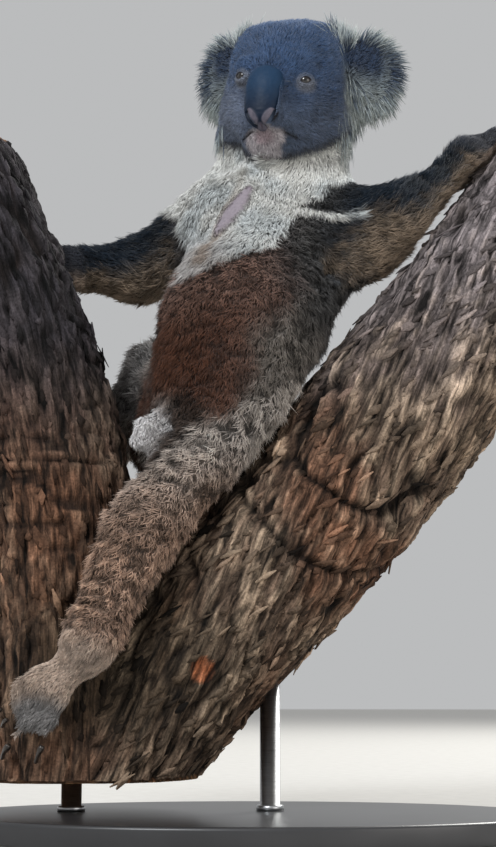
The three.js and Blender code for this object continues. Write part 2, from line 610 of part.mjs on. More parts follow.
function roundedPlate({ length, width, thickness, bevel }) {
  const outline = new THREE.Shape();
  outline.absellipse(0, 0, length / 2 - bevel, width / 2 - bevel, 0, 2 * PI);
  const geometry = new THREE.ExtrudeGeometry(outline, {
    depth: thickness - 2 * bevel, bevelEnabled: true, bevelThickness: bevel, bevelSize: bevel,
    bevelSegments: 1, curveSegments: 14,
  });
  return toSolid(geometry.translate(0, 0, bevel));
}

const rod = (x, y, height) => toSolid(new THREE.CylinderGeometry(ROD.radius, ROD.radius, height, ROD.sides)
  .rotateX(PI / 2).translate(x, y, BASE.thickness + GAP + height / 2));

put('stand_base', roundedPlate(BASE), 'lacquer');
put('stand_rod_fork', rod(-190, 20, SAWN_FOOT - BASE.thickness - 2 * GAP), 'steel');
put('stand_rod_limb', rod(24, 33, 220).subtract(limbLog.solid(GAP)), 'steel');

// ---------------------------------------------------------------- materials and the scene graph

const finish = (color, roughness, metalness = 0) => new THREE.MeshStandardMaterial({ color, roughness, metalness });
const MATERIALS = {
  fur: finish(0x77706c, 0.9),
  pale_fur: finish(0xd9d4c8, 0.9),
  nose: finish(0x23262c, 0.45),
  eye: finish(0x1c120c, 0.1),
  claw: finish(0x2a2623, 0.4),
  bark: finish(0x6a5446, 0.95),
  lacquer: finish(0x2c2c2e, 0.35),
  steel: finish(0xb4b6b8, 0.3, 1),
};

const koala = new THREE.Group();
koala.name = 'koala_in_fork';
for (const [name, [solid, material]] of solids) {
  const mesh = new THREE.Mesh(toGeometry(solid), MATERIALS[material]);
  mesh.name = name;
  koala.add(mesh);
}

export default koala;
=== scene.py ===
"""A life-size koala lying back in the fork of a tree, on a plain display stand.

One skin stands for all the flesh. It lies inside the frame's solids by the depth of the coat, and a coat of
solid tufts grows from it. The bark, the bare nose, the eyes, the claws and the stand are pieces of their own.
Lengths are in millimetres until a mesh is made.
"""

import math

import bmesh
import bpy
import numpy as np
from mathutils import Matrix, Vector
from mathutils.bvhtree import BVHTree
from mathutils.kdtree import KDTree


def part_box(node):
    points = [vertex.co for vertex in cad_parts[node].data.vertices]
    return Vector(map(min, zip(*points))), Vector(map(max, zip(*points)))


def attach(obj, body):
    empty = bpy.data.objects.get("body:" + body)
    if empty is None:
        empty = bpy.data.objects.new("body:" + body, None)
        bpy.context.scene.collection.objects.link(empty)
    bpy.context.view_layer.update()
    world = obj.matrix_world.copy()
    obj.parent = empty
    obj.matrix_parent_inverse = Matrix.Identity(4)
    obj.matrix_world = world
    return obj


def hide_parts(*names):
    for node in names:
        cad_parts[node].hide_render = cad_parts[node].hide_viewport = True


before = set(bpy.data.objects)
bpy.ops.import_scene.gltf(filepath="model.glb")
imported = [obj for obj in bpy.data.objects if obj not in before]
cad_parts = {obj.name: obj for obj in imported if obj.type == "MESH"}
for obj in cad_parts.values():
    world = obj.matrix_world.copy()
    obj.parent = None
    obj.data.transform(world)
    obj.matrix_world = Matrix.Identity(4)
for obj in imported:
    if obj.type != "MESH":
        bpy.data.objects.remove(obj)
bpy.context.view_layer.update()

MM = 0.001
BODY = "root"
SEED = 7

# ---------------------------------------------------------------- driving sizes and places

# The camera: its place in metres, how far it looks up, and its focal length in pixels of the frame's height.
CAMERA_AT = (0, -1.85, 0.15)
CAMERA_UP = 9
FRAME_HEIGHT = 847
FOCAL = 1700
SENSOR = 36

# Middles of the skull and of the ears, and how they are turned: pitch, roll and yaw in degrees.
HEAD = np.array((46.0, 62.0, 845.0))
HEAD_TURN = (7, 4, -18)
# Eyes and ears by side: -1 is the right one and 1 the left. The face isn't quite even.
EYES = {-1: (-34.5, -57, 8.5), 1: (37.4, -55.5, 0.7)}
EYE_RADIUS = 9
EARS = {-1: (-90, 34, 30.5), 1: (92, 34, 26)}
EAR_TURN = (0, 8, 24)
NOSE = (0, -93, -24)

# The bones that the coat lies along.
PELVIS = (-27, 10, 472)
CHEST = (20, 80, 678)
LIMBS = {
    "arm_left": ((84, 84, 690), (174, 34, 686), (256, 40, 758)),
    "arm_right": ((-32, 112, 702), (-130, 136, 650), (-200, 96, 642)),
    "leg_left": ((-14, -20, 446), (-112, -80, 316), (-161, -104, 203)),
    "leg_right": ((-62, 60, 478), (-108, 134, 524), (-196, 148, 382)),
}
SEGMENTS = {"arm": ("upper_arm", "forearm", "hand"), "leg": ("thigh", "shank", "foot")}

# The two logs of the fork: where each one's middle line starts and ends, how far it bows, its radii, and how
# far its grain winds round it, in radians for each millimetre along.
LOGS = {
    "trunk": {"start": (-206, 20, 20), "end": (-350, -4, 745), "bow": (56, 0, 0), "radii": (98, 87),
              "winding": -0.0006},
    "limb": {"start": (-178, 26, 66), "end": (420, 48, 766), "bow": (4, 0, -4), "radii": (98, 102),
             "winding": 0.0034},
}
SAWN_FOOT = 58

# The coat by zone: depth of the coat, length and width of a tuft, how far it lifts at root and tip in
# degrees, spacing of the locks, how far tufts draw together into them, how dense the tufts are beside other
# zones, how far they stray from the lie of the coat, and how woolly it is.
COAT_COLUMNS = ("depth", "length", "width", "lift_root", "lift_tip", "pitch", "pull", "density", "stray",
                "wool")
COAT = {
    "head": (4.4, 11, 1.0, 38, 15, 6, 0.15, 62, 0.2, 0.2),
    "ear": (4, 15, 1.2, 40, 16, 6, 0.25, 46, 0.3, 0.2),
    "neck": (8, 19, 1.25, 26, 10, 10, 0.15, 46, 0.14, 0.05),
    "trunk": (7.5, 13, 1.25, 46, 26, 6, 0.3, 38, 0.5, 0.55),
    "arm": (6.5, 16, 1.3, 36, 17, 7, 0.25, 36, 0.3, 0.5),
    "hand": (3.2, 9, 1.05, 28, 10, 5, 0.2, 52, 0.18, 0.2),
    "leg": (7, 12.5, 1.25, 44, 24, 6, 0.28, 38, 0.5, 1.0),
    "foot": (3.6, 10, 1.1, 30, 12, 5, 0.2, 52, 0.2, 0.3),
    "pouch": (2.6, 8, 1.0, 30, 14, 5, 0.2, 52, 0.3, 0.2),
}
MOST_TUFTS = 225000

# Loose plates of bark: how many on a square metre, and their sizes in metres.
FLAKES = {"density": 3200.0, "length": 0.018, "width": 0.005, "thickness": 0.003}

# How far apart the vertices of the skin and of the bark are.
SKIN_VOXEL = 3.75
BARK_VOXEL = 3.9

# ---------------------------------------------------------------- small helpers


def linear(code):
    """An sRGB hex colour as linear values."""
    parts = [int(code[i:i + 2], 16) / 255 for i in (1, 3, 5)]
    return np.array([c / 12.92 if c <= 0.04045 else ((c + 0.055) / 1.055) ** 2.4 for c in parts])


def turned(pitch, roll, yaw):
    """The rotation that yaws, pitches and rolls, as a 3 by 3 array."""
    about = [Matrix.Rotation(math.radians(a), 3, axis) for a, axis in ((yaw, "Z"), (pitch, "X"), (roll, "Y"))]
    return np.array(about[0] @ about[1] @ about[2])


def unit(vectors):
    """Vectors scaled to length 1."""
    return vectors / np.maximum(np.linalg.norm(vectors, axis=-1, keepdims=True), 1e-9)


def smooth_step(low, high, values):
    """0 below low, 1 above high, and a smooth rise between. high may be the lower of the two."""
    t = np.clip((values - low) / (high - low), 0, 1)
    return t * t * (3 - 2 * t)


def mixed(a, b, share):
    """a where share is 0, b where it is 1."""
    share = np.asarray(share)
    if np.ndim(a) > 1 or np.ndim(b) > 1 or (share.ndim == 1 and np.shape(a) == (3,)):
        share = share[:, None]
    return a + (b - a) * share


def lumps(points, size, seed=0):
    """Smooth noise from -1 to 1 whose lumps are about size across. size may differ along the axes."""
    scaled = points / np.asarray(size, float)
    cell = np.floor(scaled).astype(np.int64)
    inside = scaled - cell
    rise = inside * inside * (3 - 2 * inside)
    total = np.zeros(len(points))
    for corner in np.ndindex(2, 2, 2):
        at = cell + corner
        mix = (at[:, 0] * 73856093) ^ (at[:, 1] * 19349663) ^ (at[:, 2] * 83492791) ^ (seed * 2654435761)
        mix = (mix ^ (mix >> 13)) * 1274126177 & 0xFFFFFFFF
        mix = (mix ^ (mix >> 16)) & 0xFFFF
        total += np.prod(np.where(corner, rise, 1 - rise), axis=1) * (mix / 32767.5 - 1)
    return total


def along_bone(points, start, end):
    """For each point, the share of the way along a bone and the distance from its line."""
    start, end = np.asarray(start, float), np.asarray(end, float)
    axis = end - start
    share = np.clip((points - start) @ axis / (axis @ axis), 0, 1)
    return share, np.linalg.norm(points - start - share[:, None] * axis, axis=1)


# How much a mark on the front of the body heeds the depth of a point.
FLAT = (1, 0.25, 1)


def capsule(points, start, end, radius, soft):
    """1 inside a rod with round ends, falling to 0 over the soft width at its edge."""
    _, away = along_bone(points, start, end)
    return smooth_step(radius + soft / 2, radius - soft / 2, away)


def stroke(points, start, end, radius, soft):
    """A capsule that reaches deep into the body, for a mark on its front."""
    return capsule(points * FLAT, np.multiply(start, FLAT), np.multiply(end, FLAT), radius, soft)


def ball(points, centre, halves, soft=0.25):
    """1 inside an ellipsoid, falling to 0 over a share of its size at its edge."""
    away = np.linalg.norm((points - np.asarray(centre)) / np.asarray(halves, float), axis=1)
    return smooth_step(1 + soft / 2, 1 - soft / 2, away)


HEAD_AXES = turned(*HEAD_TURN)


def to_head(points):
    """Points in the head's own frame: x to its left, y back, z up."""
    return (points - HEAD) @ HEAD_AXES


def from_head(points):
    """Points of the head's own frame, in the model's."""
    return np.asarray(points, float) @ HEAD_AXES.T + HEAD


def ear_frame(side):
    """An ear's middle and axes: x outwards for the left ear, y back, z up."""
    pitch, roll, yaw = EAR_TURN
    axes = HEAD_AXES @ turned(pitch, side * roll, side * yaw)
    return from_head(EARS[side]), axes


def read_array(items, key, width, kind=np.float32):
    """One property of all the items, such as vertices, with a row for each."""
    values = np.empty(len(items) * width, kind)
    items.foreach_get(key, values)
    return values.reshape(-1, width)


def mesh_points(mesh):
    """Where a mesh's vertices are, in millimetres."""
    return read_array(mesh.vertices, "co", 3).astype(float) / MM


def set_points(mesh, points):
    """Moves a mesh's vertices to places in millimetres."""
    mesh.vertices.foreach_set("co", (points * MM).astype(np.float32).ravel())
    mesh.update()


def mesh_normals(mesh):
    """The way that each vertex of a mesh faces."""
    return read_array(mesh.vertex_normals, "vector", 3).astype(float)


def mesh_edges(mesh):
    """The two vertices of each edge."""
    return read_array(mesh.edges, "vertices", 2, np.int32)


def mesh_triangles(mesh):
    """The three vertices of each triangle."""
    mesh.calc_loop_triangles()
    return read_array(mesh.loop_triangles, "vertices", 3, np.int32)


def relaxed(values, edges, times, share=0.5):
    """Values of each vertex drawn towards the mean of its neighbours. share may differ between vertices."""
    values = np.array(values, float)
    flat = values.reshape(len(values), -1)
    ends = np.concatenate((edges[:, 0], edges[:, 1]))
    others = np.concatenate((edges[:, 1], edges[:, 0]))
    count = np.maximum(np.bincount(ends, minlength=len(flat)), 1)
    share = np.broadcast_to(share, len(flat))
    for _ in range(times):
        for column in range(flat.shape[1]):
            mean = np.bincount(ends, flat[others, column], len(flat)) / count
            flat[:, column] += (mean - flat[:, column]) * share
    return flat.reshape(values.shape)


def set_colours(mesh, name, colours):
    """A colour for each vertex, as an attribute that materials read."""
    layer = mesh.color_attributes.new(name, "FLOAT_COLOR", "POINT")
    full = np.ones((len(colours), 4), np.float32)
    full[:, :3] = np.clip(colours, 0, 1)
    layer.data.foreach_set("color", full.ravel())


def set_values(mesh, name, values):
    """A number for each vertex, as an attribute that materials read."""
    layer = mesh.attributes.new(name, "FLOAT", "POINT")
    layer.data.foreach_set("value", values.astype(np.float32))


def set_vectors(mesh, name, vectors):
    """A vector for each vertex, as an attribute that materials read."""
    layer = mesh.attributes.new(name, "FLOAT_VECTOR", "POINT")
    layer.data.foreach_set("vector", vectors.astype(np.float32).ravel())


def finished(name, mesh, material, slot, *nodes):
    """A piece made of that mesh, that rides on the model and stands for those nodes."""
    piece = bpy.data.objects.new(name, mesh)
    bpy.context.scene.collection.objects.link(piece)
    mesh.materials.clear()
    mesh.materials.append(material)
    mesh.polygons.foreach_set("use_smooth", np.ones(len(mesh.polygons), bool))
    mesh.update()
    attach(piece, BODY)
    if nodes:
        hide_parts(*nodes)
    return piece


def face_mesh(name, points, faces):
    """A mesh of three- or four-sided faces that all have the same number of sides."""
    mesh = bpy.data.meshes.new(name)
    sides = faces.shape[1]
    mesh.vertices.add(len(points))
    mesh.loops.add(faces.size)
    mesh.polygons.add(len(faces))
    mesh.vertices.foreach_set("co", (points * MM).astype(np.float32).ravel())
    mesh.loops.foreach_set("vertex_index", faces.astype(np.int32).ravel())
    mesh.polygons.foreach_set("loop_start", np.arange(0, faces.size, sides, dtype=np.int32))
    mesh.update(calc_edges=True)
    return mesh


# ---------------------------------------------------------------- copies of the frame's solids


def closed_mesh(name, shape):
    """A mesh of a closed shape, with its faces turned outwards."""
    bmesh.ops.recalc_face_normals(shape, faces=shape.faces)
    mesh = bpy.data.meshes.new(name)
    shape.to_mesh(mesh)
    shape.free()
    return mesh


def joined_copies(names, grow):
    """Copies of CAD nodes, each merged and swollen by grow, in one bmesh."""
    joined = bmesh.new()
    for name in names:
        single = bmesh.new()
        single.from_mesh(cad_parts[name].data)
        bmesh.ops.remove_doubles(single, verts=single.verts, dist=1e-6)
        single.normal_update()
        for vert in single.verts:
            vert.co += vert.normal * grow * MM
        copy = bpy.data.meshes.new("copy")
        single.to_mesh(copy)
        single.free()
        joined.from_mesh(copy)
        bpy.data.meshes.remove(copy)
    return joined


def remeshed(shape, voxel):
    """One closed mesh round all that a bmesh holds, made of even four-sided faces."""
    rough_mesh = bpy.data.meshes.new("rough")
    shape.to_mesh(rough_mesh)
    shape.free()
    rough = bpy.data.objects.new("rough", rough_mesh)
    bpy.context.scene.collection.objects.link(rough)
    modifier = rough.modifiers.new("even", "REMESH")
    modifier.mode = "VOXEL"
    modifier.voxel_size = voxel * MM
    graph = bpy.context.evaluated_depsgraph_get()
    mesh = bpy.data.meshes.new_from_object(rough.evaluated_get(graph))
    bpy.data.objects.remove(rough)
    bpy.data.meshes.remove(rough_mesh)
    return mesh


def rounded(mesh, times, share, settle=40):
    """Smooths the facets away, then gives back the fullness that the smoothing took."""
    edges = mesh_edges(mesh)
    before = mesh_points(mesh)
    after = relaxed(before, edges, times, share)
    set_points(mesh, after)
    normals = mesh_normals(mesh)
    lost = relaxed(np.sum((before - after) * normals, axis=1), edges, settle)
    set_points(mesh, after + normals * lost[:, None])


def nearest_nodes(points, names):
    """For each point, the number in names of the CAD node whose surface is nearest."""
    corners, faces, owner = [], [], []
    for number, name in enumerate(names):
        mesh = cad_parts[name].data
        first = len(corners)
        corners.extend(v.co.copy() for v in mesh.vertices)
        faces.extend([first + v for v in face.vertices] for face in mesh.polygons)
        owner.extend([number] * len(mesh.polygons))
    tree = BVHTree.FromPolygons(corners, faces)
    return np.array([owner[tree.find_nearest(Vector(p * MM))[2]] for p in points])


# ---------------------------------------------------------------- material nodes


def add(tree, kind, inputs=None, **settings):
    """Adds a node. inputs gives a socket, by name or number, its value or the output that feeds it."""
    made = tree.nodes.new(kind)
    for key, value in settings.items():
        setattr(made, key, value)
    for key, value in (inputs or {}).items():
        if isinstance(value, bpy.types.NodeSocket):
            tree.links.new(value, made.inputs[key])
        else:
            made.inputs[key].default_value = value
    return made


def new_material(name, **shader_values):
    """A material whose Principled shader has those values set on its own sockets."""
    material = bpy.data.materials.new(name)
    material.use_nodes = True
    tree = material.node_tree
    tree.nodes.clear()
    inputs = {key.replace("_", " "): value for key, value in shader_values.items()}
    shader = add(tree, "ShaderNodeBsdfPrincipled", inputs)
    add(tree, "ShaderNodeOutputMaterial", {"Surface": shader.outputs[0]})
    return material, tree, shader


def feed(tree, output, shader, socket):
    """Links an output to a socket of the shader."""
    tree.links.new(output, shader.inputs[socket])


def ramp(tree, source, stops):
    """A colour ramp whose stops are (position, hex colour)."""
    made = add(tree, "ShaderNodeValToRGB", {"Fac": source})
    elements = made.color_ramp.elements
    while len(elements) < len(stops):
        elements.new(0.5)
    for element, (position, code) in zip(elements, stops):
        element.position = position
        element.color = (*linear(code), 1)
    return made.outputs["Color"]


def shaded(tree, colour, factor, low, high, spread=0.5):
    """A colour made darker and lighter by a pattern that runs that far to each side of a half."""
    level = add(tree, "ShaderNodeMapRange", {"Value": factor, "From Min": 0.5 - spread,
                                             "From Max": 0.5 + spread, "To Min": low, "To Max": high})
    scaled = add(tree, "ShaderNodeVectorMath", {0: colour, 1: level.outputs["Result"]}, operation="MULTIPLY")
    return scaled.outputs["Vector"]


def attribute(tree, name, output="Color"):
    """What a mesh's own attribute holds at each place."""
    return add(tree, "ShaderNodeAttribute", attribute_name=name).outputs[output]


def object_place(tree):
    """Places in the model's own coordinates, in metres."""
    return add(tree, "ShaderNodeTexCoord").outputs["Object"]


def grain_scale(width):
    """The scale of a noise whose grains are that many millimetres across."""
    return 1 / (width * MM) / 2


def noise(tree, place, scale, detail=2.0, distortion=0.0):
    """A noise pattern that runs from 0 to 1."""
    values = {"Vector": place, "Scale": scale, "Detail": detail, "Distortion": distortion}
    return add(tree, "ShaderNodeTexNoise", values).outputs["Fac"]


def maths(tree, operation, *values):
    """The result of a Math node."""
    return add(tree, "ShaderNodeMath", dict(enumerate(values)), operation=operation).outputs[0]


def raised(tree, shader, height, strength, distance, **settings):
    """Lets a pattern raise the surface, by up to that many millimetres."""
    bump = add(tree, "ShaderNodeBump", {"Height": height, "Strength": strength, "Distance": distance * MM},
               **settings)
    feed(tree, bump.outputs["Normal"], shader, "Normal")


def coat_material():
    """Fur of fine, dull keratin hairs: matt, with a faint sheen where light grazes it. Each tuft holds its
    own colour, with painted shade at its root. Streaks 0.8 mm wide stand for its hairs, which are too fine to
    show."""
    material, tree, shader = new_material("koala_fur", Roughness=0.78, IOR=1.55, Sheen_Weight=0.12,
                                          Sheen_Roughness=0.5, Specular_IOR_Level=0.12)
    streak = noise(tree, object_place(tree), grain_scale(0.8), 1.0)
    feed(tree, shaded(tree, attribute(tree, "coat"), streak, 0.72, 1.3), shader, "Base Color")
    return material


def skin_material():
    """Skin under fur: soft and matt, with short down that a fine grain of 1.6 mm stands for."""
    material, tree, shader = new_material("furred_skin", Roughness=0.7, IOR=1.42, Sheen_Weight=0.1,
                                          Specular_IOR_Level=0.2)
    grain = noise(tree, object_place(tree), grain_scale(1.6), 3.0)
    feed(tree, shaded(tree, attribute(tree, "coat"), grain, 0.7, 1.3), shader, "Base Color")
    raised(tree, shader, grain, 0.5, 0.6)
    return material


def nose_material():
    """Bare rhinarium leather: dark, finely pebbled, with a low moist sheen. The pebbles are 0.9 mm across."""
    material, tree, shader = new_material("pebbled_nose_leather", Roughness=0.58, IOR=1.42,
                                          Specular_IOR_Level=0.25, Coat_Weight=0.05, Coat_Roughness=0.4)
    cells = add(tree, "ShaderNodeTexVoronoi", {"Vector": object_place(tree), "Scale": 1 / (0.9 * MM)})
    pebbles = cells.outputs["Distance"]
    feed(tree, shaded(tree, attribute(tree, "coat"), pebbles, 1.12, 0.8), shader, "Base Color")
    raised(tree, shader, pebbles, 0.35, 0.25, invert=True)
    return material


def eye_material():
    """A wet cornea over a dark iris: as smooth as glass, so it holds one sharp highlight."""
    material, tree, shader = new_material("wet_eye", Roughness=0.12, IOR=1.38, Coat_Weight=1.0,
                                          Coat_Roughness=0.03)
    fibres = noise(tree, object_place(tree), grain_scale(0.5))
    feed(tree, shaded(tree, attribute(tree, "coat"), fibres, 0.75, 1.25), shader, "Base Color")
    return material


def claw_material():
    """Claw horn: dense dark keratin, polished by use, with streaks 1.2 mm apart."""
    material, tree, shader = new_material("claw_horn", Roughness=0.3, IOR=1.54, Coat_Weight=0.2)
    streaks = noise(tree, object_place(tree), grain_scale(1.2), 3.0)
    horn = ramp(tree, streaks, [(0.3, "#15110f"), (0.62, "#3a322c"), (0.8, "#5a4f45")])
    feed(tree, horn, shader, "Base Color")
    raised(tree, shader, streaks, 0.25, 0.2)
    return material


def bark_material():
    """Old rough bark: dry, fibrous and dull. Furrows and plates come from the mesh. Fibres 1.8 mm thick run
    along the grain over them, in strips 5 mm wide, with grit of 1.2 mm. The sawn ends show growth rings 4 mm
    apart, drawn coarser than real ones so that they show."""
    material, tree, shader = new_material("rough_bark", Roughness=0.9, IOR=1.45, Specular_IOR_Level=0.25)
    sawn = attribute(tree, "sawn", "Fac")
    grain = attribute(tree, "grain", "Vector")
    place = object_place(tree)
    ring_gap, wander = 4, 14.0

    def along_grain(across, along, detail, distortion):
        scale = [grain_scale(width) for width in (across, across, along)]
        stretched = add(tree, "ShaderNodeMapping", {"Vector": grain, "Scale": scale}).outputs[0]
        return noise(tree, stretched, 1.0, detail, distortion)

    strips = along_grain(5, 24, 3.0, 0.8)
    fibres = along_grain(1.8, 13, 2.0, 0.4)
    grit = noise(tree, place, grain_scale(1.2), 3.0)
    rough = shaded(tree, attribute(tree, "coat"), strips, 0.1, 2.0, 0.17)
    rough = shaded(tree, rough, fibres, 0.35, 1.7, 0.2)
    rough = shaded(tree, rough, grit, 0.6, 1.4, 0.25)

    uneven = noise(tree, place, grain_scale(30))
    shifted = maths(tree, "MULTIPLY_ADD", uneven, wander, attribute(tree, "ring", "Fac"))
    wave = maths(tree, "SINE", maths(tree, "MULTIPLY", shifted, 2 * math.pi / ring_gap))
    level = add(tree, "ShaderNodeMapRange", {"Value": wave, "From Min": -1.0, "From Max": 1.0})
    wood = ramp(tree, level.outputs["Result"], [(0.0, "#8a5f43"), (0.6, "#a97c58"), (1.0, "#b98f69")])
    wood = shaded(tree, wood, grit, 0.8, 1.15)
    both = add(tree, "ShaderNodeMix", {0: sawn, 6: rough, 7: wood}, data_type="RGBA")
    feed(tree, both.outputs[2], shader, "Base Color")

    rugged = maths(tree, "MULTIPLY_ADD", grit, 0.15, maths(tree, "MULTIPLY_ADD", fibres, 0.5, strips))
    smooth_end = add(tree, "ShaderNodeMapRange", {"Value": sawn, "To Min": 1.0, "To Max": 0.08})
    raised(tree, shader, maths(tree, "MULTIPLY", rugged, smooth_end.outputs["Result"]), 1.0, 6)
    return material


def lacquer_material():
    """Satin lacquer sprayed on a board: even and dark, with a fine orange peel 1.5 mm across."""
    material, tree, shader = new_material("satin_lacquer", Roughness=0.38, IOR=1.5, Coat_Weight=0.3,
                                          Coat_Roughness=0.25)
    place = object_place(tree)
    dust = noise(tree, place, grain_scale(45), 4.0)
    feed(tree, ramp(tree, dust, [(0.3, "#2b2b2d"), (0.7, "#353537")]), shader, "Base Color")
    raised(tree, shader, noise(tree, place, grain_scale(1.5)), 0.12, 0.1)
    return material


def steel_material():
    """Bright steel rod, brushed round its girth: rings of scratches 0.4 mm apart, drawn coarser to show."""
    material, tree, shader = new_material("brushed_steel", Metallic=1.0, Roughness=0.3)
    scale = (60, 60, 1 / (0.4 * MM))
    stretched = add(tree, "ShaderNodeMapping", {"Vector": object_place(tree), "Scale": scale})
    scratches = noise(tree, stretched.outputs[0], 1.0)
    feed(tree, ramp(tree, scratches, [(0.3, "#a9abad"), (0.7, "#c9cbcc")]), shader, "Base Color")
    level = add(tree, "ShaderNodeMapRange", {"Value": scratches, "To Min": 0.22, "To Max": 0.42})
    feed(tree, level.outputs["Result"], shader, "Roughness")
    return material


def floor_material():
    """A plain matt studio floor, with a paper grain too fine to stand out."""
    material, tree, shader = new_material("studio_floor", Roughness=0.9)
    grain = noise(tree, object_place(tree), grain_scale(12.5), 3.0)
    feed(tree, ramp(tree, grain, [(0.3, "#cfcdc9"), (0.7, "#d6d4d0")]), shader, "Base Color")
    return material


# ---------------------------------------------------------------- the skin

ZONES = list(COAT)
FLESH = ["head", "ear_left", "ear_right", "neck", "trunk", "scrotum"]
ZONE_OF = {"head": "head", "ear_left": "ear", "ear_right": "ear", "neck": "neck", "trunk": "trunk",
           "scrotum": "pouch"}
for limb in LIMBS:
    kind, side = limb.split("_")
    for segment in SEGMENTS[kind]:
        FLESH.append(f"{segment}_{side}")
        ZONE_OF[FLESH[-1]] = segment if segment in COAT else kind

FACE_FEATURES = [(*NOSE[:2], -30), EYES[-1], EYES[1], (0, -80, -62)]


def refined(mesh, centres, reach):
    """Splits the faces near the given places into four."""
    shape = bmesh.new()
    shape.from_mesh(mesh)
    spots = [Vector(c * MM) for c in centres]
    near = {edge for face in shape.faces
            if min((face.calc_center_median() - spot).length for spot in spots) < reach * MM
            for edge in face.edges}
    bmesh.ops.subdivide_edges(shape, edges=list(near), cuts=1, use_grid_fill=True)
    shape.to_mesh(mesh)
    shape.free()


def zone_weights(mesh, times=30):
    """How far each vertex belongs to each zone, blending softly at the borders."""
    owner = nearest_nodes(mesh_points(mesh), FLESH)
    zone = np.array([ZONES.index(ZONE_OF[name]) for name in FLESH])[owner]
    weights = relaxed(np.eye(len(ZONES))[zone], mesh_edges(mesh), times)
    return weights / weights.sum(1, keepdims=True), owner


def slimmed_ears(points, weights):
    """Draws each ear in from its long fringe to the thin leaf of skin that carries it."""
    share = weights[:, ZONES.index("ear")]
    for side in (-1, 1):
        centre, axes = ear_frame(side)
        local = (points - centre) @ axes
        root = np.array((side * -26.0, 2.0, -4.0))
        drawn = root + (local - root) * (0.76, 0.42, 0.76)
        own = share * (np.sign(to_head(points)[:, 0]) == side)
        points = points + (drawn @ axes.T + centre - points) * own[:, None]
    return points


# Half the width of the opening between the lids, and its height above and below the middle.
LIDS = (5.0, 3.5, 2.9)


def beyond_lids(local, side):
    """The eye's middle, then for each point of the head's frame: its offset and distance from that middle,
    how far ahead it lies, and how far beyond the almond opening of the lids, negative in the opening."""
    centre = np.array(EYES[side], float)
    gaze = unit(np.array((side * 0.42, -0.9, 0.02)))
    across = unit(np.cross(gaze, (0, 0, 1)) * -side + np.array((0, 0, 0.1)))
    across = unit(across - gaze * (across @ gaze))
    upright = unit(np.cross(across, gaze))
    upright = upright * np.sign(upright[2])
    away = local - centre
    far = np.linalg.norm(away, axis=1)
    ahead = away @ gaze
    x = np.arctan2(away @ across, np.maximum(ahead, 0.1)) * EYE_RADIUS
    y = np.arctan2(away @ upright, np.maximum(ahead, 0.1)) * EYE_RADIUS
    wide, above, below = LIDS
    high = np.where(y > 0, above, below)
    edge = (np.abs(x / wide) ** 1.7 + np.abs(y / high) ** 1.8) ** (1 / 1.75)
    near = (far < 30) & (ahead > 0)
    beyond = np.where(near, (edge - 1) * 2.8, 99.0)
    return centre, away, far, ahead, beyond


# The nose pad from top to bottom, in the head's frame: height, half width, how far forward its middle is.
NOSE_PROFILE = (
    (15.5, 5, -82), (14, 12, -85), (11, 16, -88), (6, 18.8, -91.5), (-1, 20.8, -95), (-15, 22, -100),
    (-30, 22, -103),
    (-40, 20.5, -105), (-48, 17.5, -104.5), (-54, 12.5, -101), (-58, 7, -95), (-60, 2.5, -89),
)
NOSE_MIDDLE = -2.0


def behind_pad(local):
    """Sinks the skin that lies behind the nose pad to 4 mm under the pad's own surface."""
    high, wide, ahead = (np.array(column, float) for column in zip(*NOSE_PROFILE))
    half = np.interp(-local[:, 2], -high, wide)
    off = np.abs(local[:, 0] - NOSE_MIDDLE) / half
    surface = np.interp(-local[:, 2], -high, ahead) + 0.9 * half * (1 - np.maximum(1 - off**2, 0) ** 0.45)
    inside = smooth_step(0.97, 0.85, off)
    inside = inside * smooth_step(16, 11, local[:, 2]) * smooth_step(-60, -55, local[:, 2])
    held = local.copy()
    held[:, 1] = mixed(local[:, 1], np.maximum(local[:, 1], surface + 4), inside * (local[:, 1] < -50))
    return held


def lidded_eyes(points):
    """Lays the lids round each eyeball, with an almond opening, and sinks the skin behind the opening."""
    local = to_head(points)
    for side in (-1, 1):
        centre, away, far, ahead, beyond = beyond_lids(local, side)
        lid = EYE_RADIUS - 1.4 + 2.3 * smooth_step(-0.3, 0.6, beyond)
        wrinkles = np.sin(np.clip(beyond, 0, 9) * 1.5)
        lid += 0.4 * wrinkles * smooth_step(1, 2, beyond) * smooth_step(9, 5, beyond)
        hold = smooth_step(7, 2.0, beyond) * smooth_step(-2, 3, ahead)
        wanted = centre + away / far[:, None] * lid[:, None]
        local = local + (wanted - local) * hold[:, None]
        away = local - centre
        far = np.linalg.norm(away, axis=1)
        least = (EYE_RADIUS + 0.9) * smooth_step(-0.3, 0.6, beyond)
        local = centre + away * (np.maximum(far, least) / far)[:, None]
    return from_head(local)


def mouth_line(local):
    """Height of the line of the mouth, in the head's frame. It drops at its corners."""
    return -58.5 - 0.4 * np.maximum(np.abs(local[:, 0]) - 20, 0)


